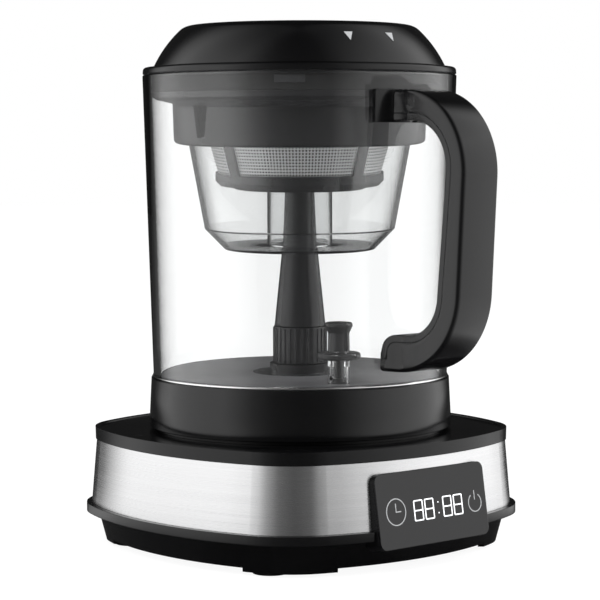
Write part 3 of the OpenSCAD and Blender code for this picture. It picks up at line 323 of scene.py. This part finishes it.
def add_piece(name, mesh, body, slot, nodes, look=None):
    """Links a mesh as a piece that rides on a body, takes a slot's finish and stands for CAD nodes."""
    obj = bpy.data.objects.new(name, mesh)
    bpy.context.scene.collection.objects.link(obj)
    mesh.materials.append(MAT[look or slot])
    smooth(mesh)
    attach(obj, body)
    if nodes:
        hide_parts(*nodes)
    return obj


def to_mesh(bm, name, outward=True):
    """Ends a bmesh as a mesh, after its faces are turned outward where that is asked for."""
    if outward:
        bmesh.ops.recalc_face_normals(bm, faces=bm.faces)
    mesh = bpy.data.meshes.new(name)
    bm.to_mesh(mesh)
    bm.free()
    return mesh


def skin(bm, loops):
    """Faces from each loop of vertices to the next, with a cap on both ends."""
    for u, v in zip(loops, loops[1:]):
        for k in range(len(u)):
            j = (k + 1) % len(u)
            bm.faces.new([u[k], u[j], v[j], v[k]])
    bm.faces.new(loops[0][::-1])
    bm.faces.new(loops[-1])


def rounded(points, closed=True, steps=5):
    """Points (r, z, radius): each corner with a radius is rounded off by that much."""
    out, n = [], len(points)
    for i, p in enumerate(points):
        f = p[2] if len(p) > 2 else 0.0
        here = Vector(p[:2])
        if not f or (not closed and i in (0, n - 1)):
            out.append(tuple(here))
            continue
        a, b = Vector(points[i - 1][:2]), Vector(points[(i + 1) % n][:2])
        u, v = (a - here).normalized(), (b - here).normalized()
        half = math.acos(max(-1.0, min(1.0, u.dot(v)))) / 2
        if half > math.radians(89):
            out.append(tuple(here))
            continue
        reach = min(f / math.tan(half), (a - here).length * 0.49, (b - here).length * 0.49)
        f = reach * math.tan(half)
        mid = here + (u + v).normalized() * (f / math.sin(half))
        p0, p1 = here + u * reach, here + v * reach
        a0 = math.atan2(*(p0 - mid).yx)
        a1 = math.atan2(*(p1 - mid).yx)
        d = (a1 - a0 + math.pi) % (2 * math.pi) - math.pi
        out += [(mid.x + f * math.cos(a0 + d * k / steps), mid.y + f * math.sin(a0 + d * k / steps))
                for k in range(steps + 1)]
    return out


def arc(cx, cz, r, a0, a1, n):
    """Points on an arc from angle a0 to a1, in degrees, in n steps."""
    return [(cx + r * math.cos(math.radians(a0 + (a1 - a0) * k / n)),
             cz + r * math.sin(math.radians(a0 + (a1 - a0) * k / n))) for k in range(n + 1)]


def lathe(name, profile, centre=(0.0, AXIS_Y), turns=TURNS):
    """A mesh turned from a closed profile of (r, z) in millimetres."""
    bm = bmesh.new()
    rings = []
    for r, z in profile:
        if r < 1e-6:
            rings.append([bm.verts.new((centre[0] * MM, centre[1] * MM, z * MM))])
        else:
            rings.append([bm.verts.new(((centre[0] + r * math.cos(2 * math.pi * k / turns)) * MM,
                                        (centre[1] + r * math.sin(2 * math.pi * k / turns)) * MM, z * MM))
                          for k in range(turns)])
    for i, a in enumerate(rings):
        b = rings[(i + 1) % len(rings)]
        if len(a) == 1 and len(b) == 1:
            continue
        for k in range(turns):
            j = (k + 1) % turns
            quad = [a[k % len(a)], a[j % len(a)], b[j % len(b)], b[k % len(b)]]
            bm.faces.new(list(dict.fromkeys(quad)))
    return to_mesh(bm, name)


def turned(name, profile, body, slot, node):
    """A piece turned from a profile whose corners are rounded."""
    return add_piece(name, lathe(name, rounded(profile)), body, slot, [node])


def cut(obj, cutter):
    """Cuts a mesh out of an object; the cutter is then removed."""
    tool = bpy.data.objects.new("cutter", cutter)
    bpy.context.scene.collection.objects.link(tool)
    mod = obj.modifiers.new("cut", "BOOLEAN")
    mod.object, mod.operation, mod.solver = tool, "DIFFERENCE", "EXACT"
    dg = bpy.context.evaluated_depsgraph_get()
    mesh = bpy.data.meshes.new_from_object(obj.evaluated_get(dg))
    obj.modifiers.clear()
    old, obj.data = obj.data, mesh
    bpy.data.meshes.remove(old)
    bpy.data.objects.remove(tool)
    smooth(mesh)


# Lid: the dome is a side arc, a shoulder arc and a slight crown

DOME_R, DOME_SIDE_R, SHOULDER_R, CROWN, DOME_T = 66.9, 55.0, 8.0, 0.8, 2.2
DOME_LOW = 219.4
START, TURN = 24.8, 46.4
DOME_CX = DOME_R - DOME_SIDE_R * math.cos(math.radians(START))
DOME_CZ = LID_SEAM - DOME_SIDE_R * math.sin(math.radians(START))
SHOULDER_CX = DOME_CX + (DOME_SIDE_R - SHOULDER_R) * math.cos(math.radians(TURN))
SHOULDER_CZ = DOME_CZ + (DOME_SIDE_R - SHOULDER_R) * math.sin(math.radians(TURN))
LID_HIGH = SHOULDER_CZ + SHOULDER_R + CROWN


def dome_edge(inset):
    """The dome's outline from its foot to its middle, moved in by inset."""
    r = DOME_SIDE_R - inset
    foot = math.degrees(math.asin((DOME_LOW - DOME_CZ) / r))
    side = arc(DOME_CX, DOME_CZ, r, foot, TURN, 24)
    shoulder = arc(SHOULDER_CX, SHOULDER_CZ, SHOULDER_R - inset, TURN + 2, 87, 18)
    top = [(SHOULDER_CX * k / 12, LID_HIGH - inset - CROWN * (k / 12) ** 2) for k in range(11, -1, -1)]
    return side + shoulder + top


add_piece("dome_shell", lathe("dome_shell", dome_edge(0) + dome_edge(DOME_T)[::-1]), "dome", "gloss_black",
          ["lid_dome"])

LIP_LOW, PLATE_LOW, PLUG_R = 216.1, 217.2, 63.96
PLUG_LOW, GROOVE_TOP, COLLAR_TOP = PLATE_LOW - 6, PLATE_LOW + 1, LID_SEAM + 2.8
GROOVE_IN, GROOVE_OUT, COLLAR_IN, COLLAR_OUT = 65.55, 68.45, 60.5, 62.5
turned("ring_shell", [
    (PLUG_R - 2, PLUG_LOW, 0.4), (PLUG_R, PLUG_LOW, 0.6), (PLUG_R, PLATE_LOW), (GROOVE_IN, PLATE_LOW),
    (GROOVE_IN, GROOVE_TOP), (GROOVE_OUT, GROOVE_TOP), (GROOVE_OUT, PLATE_LOW), (LID_R - 1.1, PLATE_LOW),
    (LID_R - 1.1, LIP_LOW, 0.1), (LID_R - 0.2, LIP_LOW, 0.15), (LID_R - 0.4, LID_SEAM, 1.7),
    (COLLAR_OUT, LID_SEAM), (COLLAR_OUT, COLLAR_TOP, 0.4), (COLLAR_IN, COLLAR_TOP, 0.4),
    (COLLAR_IN, PLATE_LOW)], "lid", "gloss_black", "lid_ring")

# Carafe

turned("glass_wall", [
    (glass_r(GLASS_LOW) - GLASS_T, GLASS_LOW), (glass_r(GLASS_LOW), GLASS_LOW),
    (glass_r(GLASS_TOP), GLASS_TOP, 0.6), (glass_r(GLASS_TOP) - GLASS_T, GLASS_TOP, 0.6)],
    "carafe", "glass", "carafe_glass")

# A thin mirror bead round the glass's foot: a painted glint, where the glass's ground edge catches the light.
BEAD_Z, BEAD_R = 78.4, 0.6
add_piece("glass_foot", lathe("glass_foot", arc(glass_r(BEAD_Z) - 0.2, BEAD_Z, BEAD_R, 0, 345, 23)),
          "carafe", "glass", [], "glass_foot")

RING_FOOT, RING_TOP, SHELF, SHELF_IN = 55.2, 77.7, 73.6, 60.5
RING_IN, REBATE_R, REBATE_TOP = 66.2, 67.9, 57.25
BORE = glass_r(RING_TOP) + 0.1
turned("ring_wall", [
    (GLASS_R + 2.1, RING_FOOT, 0.5), (BORE + 0.9, RING_TOP, 0.4), (BORE, RING_TOP, 0.25),
    (BORE - 0.1, SHELF), (SHELF_IN, SHELF), (SHELF_IN, SHELF - 2), (RING_IN, SHELF - 2),
    (RING_IN, REBATE_TOP), (REBATE_R, REBATE_TOP), (REBATE_R, RING_FOOT)],
    "carafe", "gloss_black", "carafe_ring")

# Brew insert: the holder, its slot and the cup

HOLDER_LOW, HOLDER_T, HOLDER_R, HOLDER_FLARE = 182.3, 2.0, 58.4, 199.6
CUP_R, CUP_R_LOW, CUP_LOW, CUP_FLANGE = 51.7, 43.9, 134.05, 184.35
RIM_R, RIM_IN, SEAL_R, SEAL_LOW, SEAL_TOP = 68.06, 64.36, 66.36, 207.2, 214.4
RIM_LIP, RIM_TOP = 215.9, 216.9
holder = turned("holder_shell", [
    (CUP_R + 0.5, HOLDER_LOW + HOLDER_T), (CUP_R + 0.5, HOLDER_LOW - 0.3),
    (HOLDER_R - 0.5, HOLDER_LOW - 0.3, 1.4), (HOLDER_R, HOLDER_FLARE, 1.0),
    (HOLDER_R + 4.6, HOLDER_FLARE + 1.7, 2.0), (HOLDER_R + 8, HOLDER_FLARE + 3.2, 1.0),
    (RIM_R, HOLDER_FLARE + 5, 0.6), (RIM_R, SEAL_LOW), (SEAL_R, SEAL_LOW), (SEAL_R, SEAL_TOP),
    (RIM_R, SEAL_TOP), (RIM_R, RIM_LIP),
    (LID_R - 1.4, RIM_LIP), (LID_R - 1.4, RIM_TOP, 0.3), (RIM_IN, RIM_TOP, 0.3),
    (RIM_IN, HOLDER_FLARE + 5.6), (HOLDER_R - HOLDER_T + 5.4, HOLDER_FLARE + 3.8, 1.0),
    (HOLDER_R - HOLDER_T, HOLDER_FLARE + 2.2, 1.0), (HOLDER_R - HOLDER_T - 0.6, HOLDER_LOW + HOLDER_T, 0.5)],
    "insert", "dark_plastic", "basket_holder")


def slot_cutter():
    """The tapered slot in the holder's left side."""
    bm = bmesh.new()
    low, high, half_low, half_high = HOLDER_LOW + 3.5, HOLDER_FLARE + 0.4, 2.4, 4.6
    outside, inside = -80.0, -50.0
    corners = ((-half_low, low), (half_low, low), (half_high, high), (-half_high, high))
    skin(bm, [[bm.verts.new((x * MM, (AXIS_Y + y) * MM, z * MM)) for y, z in corners]
              for x in (outside, inside)])
    return to_mesh(bm, "slot_cutter")


cut(holder, slot_cutter())

CUP_T, CHAMFER, CUP_FLANGE_R, TUBE_IN, TUBE_OUT, TUBE_TOP = 1.8, 9.2, 55.3, 13.6, 15.0, 189.05
CUP_SLOPE = (CUP_R - CUP_R_LOW) / (CUP_FLANGE - CUP_LOW - CHAMFER)
CUP_FOOT = CUP_R_LOW - CHAMFER
turned("cup_wall", [
    (TUBE_IN, CUP_LOW, 0.3), (CUP_FOOT, CUP_LOW, 0.8), (CUP_R_LOW, CUP_LOW + CHAMFER, 0.8),
    (CUP_R, CUP_FLANGE, 0.3), (CUP_FLANGE_R, CUP_FLANGE, 0.3), (CUP_FLANGE_R, CUP_FLANGE + CUP_T, 0.3),
    (CUP_R - CUP_T + CUP_SLOPE * CUP_T, CUP_FLANGE + CUP_T, 0.4),
    (CUP_R_LOW - CUP_T, CUP_LOW + CHAMFER + 0.7, 0.8), (CUP_FOOT - 0.7, CUP_LOW + CUP_T, 0.6),
    (TUBE_OUT, CUP_LOW + CUP_T, 0.6), (TUBE_OUT, TUBE_TOP, 0.3), (TUBE_IN, TUBE_TOP, 0.3)],
    "insert", "clear_plastic", "brew_cup")

# Column and valve

COLUMN_PROFILE = [
    (7.5, 92.45), (10.2, 92.45), (10.2, 99.5), (11.8, 99.5, 0.6), (7.75, 137.95, 30.0), (6.75, 158.95, 30.0),
    (6.2, 186.0, 0.3), (4.5, 186.0, 0.3), (5.05, 158.95), (6.05, 137.95), (7.5, 111.45)]
turned("column_wall", COLUMN_PROFILE, "column", "dark_plastic", "flow_column")

KNOB_LOW, KNOB_HIGH, STEM_R, DISC_R, DISC_T = 89.85, 105.75, 2.3, 9.5, 2.9
KNOB_AT = (-20.56, AXIS_Y - 47.98)
KNOB_PROFILE = [
    (0, FLOOR_Z), (STEM_R, FLOOR_Z), (STEM_R, KNOB_LOW), (DISC_R, KNOB_LOW, 0.7),
    (DISC_R, KNOB_LOW + DISC_T, 1.2), (4.8, KNOB_LOW + DISC_T, 0.8), (4.6, KNOB_HIGH - 4.6, 3.0),
    (6.1, KNOB_HIGH - 1.4, 1.0), (5.8, KNOB_HIGH, 0.6), (0, KNOB_HIGH)]
add_piece("knob_body", lathe("knob_body", rounded(KNOB_PROFILE, False), KNOB_AT, 96), "valve", "dark_plastic",
          ["valve_knob"])

# Filter


def perforated_cone():
    """The filter's steel cone, with an eight-sided hole in each cell of a grid."""
    z0, z1 = 168.1, 181.8
    r0, r1 = 37.55, 41.65
    around, rows, wall, hole = 176, 10, 0.5, 0.3
    bm = bmesh.new()
    grid = {}

    def vert(u, w, side):
        """The vertex at this place in the grid; side 0 is the outer face and side 1 the inner."""
        key = (round(u * 1000) % (around * 1000), round(w * 1000), side)
        if key not in grid:
            k = w / rows
            r = (r0 + (r1 - r0) * k - wall * side) * MM
            a = 2 * math.pi * u / around
            z = (z0 + (z1 - z0) * k) * MM
            grid[key] = bm.verts.new((r * math.cos(a), AXIS_Y * MM + r * math.sin(a), z))
        return grid[key]

    # In each cell, ring point k lies at 22.5 + 45k degrees from the middle, and edge point k at 45k
    angles = [math.pi * (2 * k + 1) / 8 for k in range(8)]
    ring = [(0.5 + hole * math.cos(a), 0.5 + hole * math.sin(a)) for a in angles]
    edge = [(1, 0.5), (1, 1), (0.5, 1), (0, 1), (0, 0.5), (0, 0), (0.5, 0), (1, 0)]
    for i in range(around):
        for j in range(rows):
            for side in (0, 1):
                for k in range(8):
                    corners = (edge[(k + 1) % 8], ring[k], ring[k - 1], edge[k])
                    loop = [vert(i + u, j + w, side) for u, w in corners]
                    # The inner face and the hole walls take a darker steel: painted shade, so the holes look
                    # dark.
                    bm.faces.new(loop if side else loop[::-1]).material_index = side
            for k in range(8):
                a, b = ring[k], ring[(k + 1) % 8]
                loop = [vert(i + p[0], j + p[1], side) for p, side in ((a, 0), (b, 0), (b, 1), (a, 1))]
                bm.faces.new(loop).material_index = 1
    for i in range(around):
        for w in (0, rows):
            for u in (i, i + 0.5):
                bm.faces.new([vert(u, w, 0), vert(u + 0.5, w, 0), vert(u + 0.5, w, 1), vert(u, w, 1)])
    return to_mesh(bm, "mesh_cone")


cone = add_piece("mesh_cone", perforated_cone(), "filter", "mesh_steel", ["filter_mesh"])
# The cone's second finish, a darker steel for its inner face and hole walls, is painted shade.
cone.data.materials.append(MAT["mesh_shade"])


def rim_tab():
    """A small curved plate on the front of the holder's rim."""
    bm = bmesh.new()
    r0, r1, z0, z1, edge = 67.9, 68.4, 210.4, 214.0, 0.15
    n, mid, half = 12, math.radians(-135.4), 0.096
    loops = []
    for k in range(n + 1):
        a = mid - half + 2 * half * k / n
        loops.append([bm.verts.new((r * math.cos(a) * MM, (AXIS_Y + r * math.sin(a)) * MM, z * MM))
                      for r, z in ((r0, z0), (r1, z0 + edge), (r1, z1 - edge), (r0, z1))])
    skin(bm, loops)
    return to_mesh(bm, "rim_tab")


add_piece("rim_tab", rim_tab(), "insert", "dark_plastic", [], "tab_plastic")

# Display

STROKE_CUT = 0.15


def thin_digits(by):
    """The clock's digits, each stroke made thinner from both sides."""
    bm = bmesh.new()
    bm.from_mesh(frame["nodes"]["panel_digits"].data)
    bmesh.ops.remove_doubles(bm, verts=bm.verts, dist=1e-7)
    front = max(bm.faces, key=lambda f: f.calc_area()).normal.copy()
    moves = []
    for v in bm.verts:
        sides = []
        for f in v.link_faces:
            if abs(f.normal.dot(front)) < 0.2 and all(f.normal.dot(n) < 0.9999 for n in sides):
                sides.append(f.normal.copy())
        if sides:
            a, b = sides[0], sides[-1]
            moves.append((v, (a + b) / (1 + a.dot(b))))
    for v, m in moves:
        v.co -= m * by * MM
    return to_mesh(bm, "digit_lines", outward=False)


add_piece("digit_lines", thin_digits(STROKE_CUT), "base", "legend_white", ["panel_digits"])

# Handle: bends as (distance out, height, radius); its edges start and end inside the glass

BEND_TOP, BEND_LOW = (78.9, 172.0, 35.6), (74.5, 122.0, 37.0)
GAP_TOP, GAP_LOW = (83.4, 173.6, 20.6), (80.5, 119.9, 18.4)
SHELL_T, SEAM, END_R, FLARE_W, FLARE_LEN = 3.2, 0.05, 7.5, 2.2, 11.0
END_OUT, END_Z = GLASS_R + END_R - 0.4, GAP_LOW[1] - GAP_LOW[2] - END_R
INSIDE = 60
GLASS_GAP, CUT_LOW, CUT_TOP = 0.15, 70.0, 220.0
PAD_GAP, PAD_LOW, PAD_TOP = 3.25, 193.35, 207.85
EDGE_R, SEAM_R, GRIP_R = 2.2, 0.15, 0.8


def path(top, low, grow, tail):
    """One edge of the handle from inside the glass round both bends and back, as (distance out, height)."""
    (a, az, ra), (b, bz, rb) = (top[0], top[1], top[2] + grow), (low[0], low[1], low[2] + grow)
    d = Vector((b - a, bz - az))
    turn = math.degrees(math.atan2(d.y, d.x) + math.acos((ra - rb) / d.length))
    first = [(INSIDE + (a - INSIDE) * k / 8, az + ra) for k in range(8)]
    upper, lower = arc(a, az, ra, 90, turn, 40), arc(b, bz, rb, turn, -90, 40)
    straight = [tuple(Vector(upper[-1]).lerp(Vector(lower[0]), k / 6)) for k in range(1, 6)]
    return first + upper + straight + lower + tail


def even(points, n):
    """The same line in n equal steps, without its first point."""
    pts = [Vector(p) for p in points]
    runs = [(q - p).length for p, q in zip(pts, pts[1:])]
    out, total = [], sum(runs)
    for k in range(1, n + 1):
        at, i = total * k / n, 0
        while i < len(runs) - 1 and at > runs[i]:
            at -= runs[i]
            i += 1
        out.append(tuple(pts[i].lerp(pts[i + 1], at / runs[i])))
    return out


def outer_path():
    """The edge away from the fingers."""
    low = (BEND_LOW[0], BEND_LOW[1] - BEND_LOW[2])
    return path(BEND_TOP, BEND_LOW, 0.0, even([low, (INSIDE, low[1])], 30))


def gap_path(grow):
    """The edge towards the fingers, moved into the handle by grow; it ends round the foot's nose."""
    r = END_R - grow
    run = [(GAP_LOW[0], END_Z + r)] + arc(END_OUT, END_Z, r, 90, 180, 16)
    run += [(END_OUT - r, END_Z - grow), (INSIDE, END_Z - grow)]
    return path(GAP_TOP, GAP_LOW, grow, even(run, 30))


def widen(out):
    """Half of the handle's width this far out: the arms widen towards the glass."""
    k = max(0.0, min(1.0, (GLASS_R + FLARE_LEN - out) / FLARE_LEN))
    return HANDLE_W / 2 + FLARE_W * k * k * (3 - 2 * k)


def sweep(name, outer, inner, r_out, r_in):
    """A bar between two edges; its long corners are rounded, the outer right one with half the radius."""
    rows = [0.25, 0.5, 0.75]
    turn = [math.radians(a) for a in range(0, 91, 15)]
    bm = bmesh.new()
    loops = []
    for a, b in zip(outer, inner):
        a, b = Vector(a), Vector(b)
        t = (b - a).length
        ring = []
        for side, r in ((-1, r_out), (1, r_out / 2)):
            half = [(r * (1 - math.cos(q)), r * (1 - math.sin(q))) for q in turn]
            half += [(r + (t - r - r_in) * k, 0.0) for k in rows]
            half += [(t - r_in * (1 - math.cos(q)), r_in * (1 - math.sin(q))) for q in reversed(turn)]
            for s, w in half[::-side]:
                p = a.lerp(b, s / t)
                ring.append(bm.verts.new((side * (widen(p.x) - w) * MM, (AXIS_Y - p.x) * MM, p.y * MM)))
        loops.append(ring)
    skin(bm, loops)
    return to_mesh(bm, name)


def handle_piece(name, outer, inner, r_out, r_in, node):
    """A shell of the handle, cut clear of the glass and of the pad at its top."""
    obj = add_piece(name, sweep(name, outer, inner, r_out, r_in), "carafe", "gloss_black", [node])
    for gap, z0, z1 in ((GLASS_GAP, CUT_LOW, CUT_TOP), (PAD_GAP, PAD_LOW, PAD_TOP)):
        cut(obj, lathe("glass_cut", [(0.0, z0), (glass_r(z0) + gap, z0), (glass_r(z1) + gap, z1), (0.0, z1)]))


handle_piece("handle_shell", outer_path(), gap_path(SHELL_T + SEAM), EDGE_R, SEAM_R, "handle_outer")
handle_piece("handle_grip", gap_path(SHELL_T), gap_path(0.0), SEAM_R, GRIP_R, "handle_inner")

# Studio: brightness by degrees round the object from the front of the shot, by height and by distance; the
# floor shows the banks in gloss as a painted reflection, with painted shade near the object

BANKS = [(-180, 0.02), (-146, 0.02), (-138, 0.15), (-130, 0.6), (-117, 1.2), (-60, 1.25), (-48, 0.85),
         (-36, 0.4), (-20, 0.14), (0, 0.08), (24, 0.12), (40, 0.45), (54, 0.78), (72, 1.1), (92, 1.25),
         (126, 1.25), (134, 0.9), (144, 0.2), (152, 0.02), (180, 0.02)]
PAST_GLASS = [(-180, 1.0), (-170, 1.0), (-160, 0.45), (-150, 0.04), (-100, 0.02), (-70, 0.5), (70, 0.5),
              (100, 0.02), (150, 0.04), (160, 0.45), (170, 1.0), (180, 1.0)]
TALL = [(0.0, 0.1), (0.4, 0.8), (0.5, 1.0), (0.75, 1.0), (0.86, 0.7), (0.92, 0.45), (0.99, 0.1)]
# How the floor's glow in gloss falls off near the object, by metres away: painted shade under the object.
PAINTED_SHADE_NEAR = [(0.0, 0.02), (0.13, 0.03), (0.155, 0.25), (0.18, 0.9), (0.3, 1.0)]
# The banks' painted reflection is spread on the floor by 1.12 up to 0.5 m away, and not at all from 0.95 m
SPREAD = (0.5, 0.95, 1.12, 1.0)
FLOOR_R, FLOOR_GLOW, FLOOR_SEEN, FLOOR_MIRRORED = 6.0, 1.2, 0.78, 0.97
LAMP_SIZE, LAMP_AIM = 1.1, (0, 0, 0.12)
LAMPS = [("key", (-1.2, -0.5, 1.6), 20.0), ("fill", (1.3, -1.0, 1.1), 13.0)]


def round_ramp(t, around, stops):
    """A ramp whose stops lie at degrees round the object."""
    return t.ramp(around, [((a + 180) / 360, v) for a, v in stops])


def around_object(t, place, spread=1.0):
    """Where a place or direction lies round the object: from 0 behind it, by left, front and right, to 1."""
    front, right = t.vector("DOT_PRODUCT", place, SHOT_FRONT), t.vector("DOT_PRODUCT", place, SHOT_RIGHT)
    around = t.math("MULTIPLY", t.math("ARCTAN2", right, front), spread)
    return t.remap(around, -math.pi, math.pi, 0.0, 1.0)


def make_world():
    """White behind the object, seen past it and through its glass, and two wide soft banks round it."""
    world = bpy.data.worlds.new("studio")
    bpy.context.scene.world = world
    world.use_nodes = True
    t = Tree(world.node_tree)
    lp = t.node("ShaderNodeLightPath")
    d = t.node("ShaderNodeTexCoord").outputs["Generated"]
    around = around_object(t, d)
    height = t.node("ShaderNodeSeparateXYZ", {0: d}).outputs[2]
    tall = t.ramp(t.remap(height, -1.0, 1.0, 0.0, 1.0), TALL)
    light = t.math("MULTIPLY", round_ramp(t, around, BANKS), tall)
    past = round_ramp(t, around, PAST_GLASS)
    first = t.math("LESS_THAN", t.math("ADD", lp.outputs["Glossy Depth"], lp.outputs["Diffuse Depth"]), 0.5)
    through = t.math("MULTIPLY", lp.outputs["Is Transmission Ray"], first)
    strength = t.mix(through, light, past)
    strength = t.mix(lp.outputs["Is Camera Ray"], strength, 1.0)
    bg = t.node("ShaderNodeBackground", {"Color": (1, 1, 1, 1), "Strength": strength})
    t.node("ShaderNodeOutputWorld", {"Surface": bg.outputs[0]})


def make_floor():
    """A pale floor that keeps the object's shadow; in gloss it glows with the banks painted on it, a painted
    reflection, darkened near the object as painted shade.
    """
    bm = bmesh.new()
    bmesh.ops.create_circle(bm, cap_ends=True, radius=FLOOR_R, segments=64)
    mesh = to_mesh(bm, "floor", outward=False)
    obj = bpy.data.objects.new("floor", mesh)
    bpy.context.scene.collection.objects.link(obj)
    m, t = new_material("floor")
    lp = t.node("ShaderNodeLightPath")
    place = t.node("ShaderNodeTexCoord").outputs["Object"]
    away = t.vector("LENGTH", place)
    sides = round_ramp(t, around_object(t, place, t.remap(away, *SPREAD)), BANKS)
    # Transmitted rays count as glossy too, so reflections are told apart by their depth
    deep = t.math("GREATER_THAN", lp.outputs["Glossy Depth"], 0.5)
    # In gloss the floor glows with the painted banks, darkened near the object: painted reflection and
    # painted shade.
    glow_and_painted_reflection = t.mix(deep, FLOOR_GLOW, t.math("MULTIPLY", sides, t.ramp(away, PAINTED_SHADE_NEAR)))
    seen = t.mix(lp.outputs["Is Diffuse Ray"], t.mix(deep, FLOOR_SEEN, FLOOR_MIRRORED), 0.0)
    diffuse = t.node("ShaderNodeBsdfDiffuse", {"Color": (0.8, 0.8, 0.8, 1)})
    glow = t.node("ShaderNodeEmission", {"Color": (1, 1, 1, 1), "Strength": glow_and_painted_reflection})
    mix = t.node("ShaderNodeMixShader", {0: seen, 1: diffuse.outputs[0], 2: glow.outputs[0]})
    finish_material(t, mix.outputs[0])
    mesh.materials.append(m)


def make_lamp(name, at, watts):
    """A soft round lamp that neither the camera nor gloss sees."""
    lamp = bpy.data.lights.new(name, "AREA")
    lamp.shape, lamp.size, lamp.energy = "DISK", LAMP_SIZE, watts
    obj = bpy.data.objects.new(name, lamp)
    bpy.context.scene.collection.objects.link(obj)
    obj.location = at
    obj.rotation_euler = (Vector(LAMP_AIM) - Vector(at)).to_track_quat("-Z", "Y").to_euler()
    obj.visible_glossy = False
    obj.visible_camera = False


make_world()
make_floor()
for name, at, watts in LAMPS:
    make_lamp(name, at, watts)
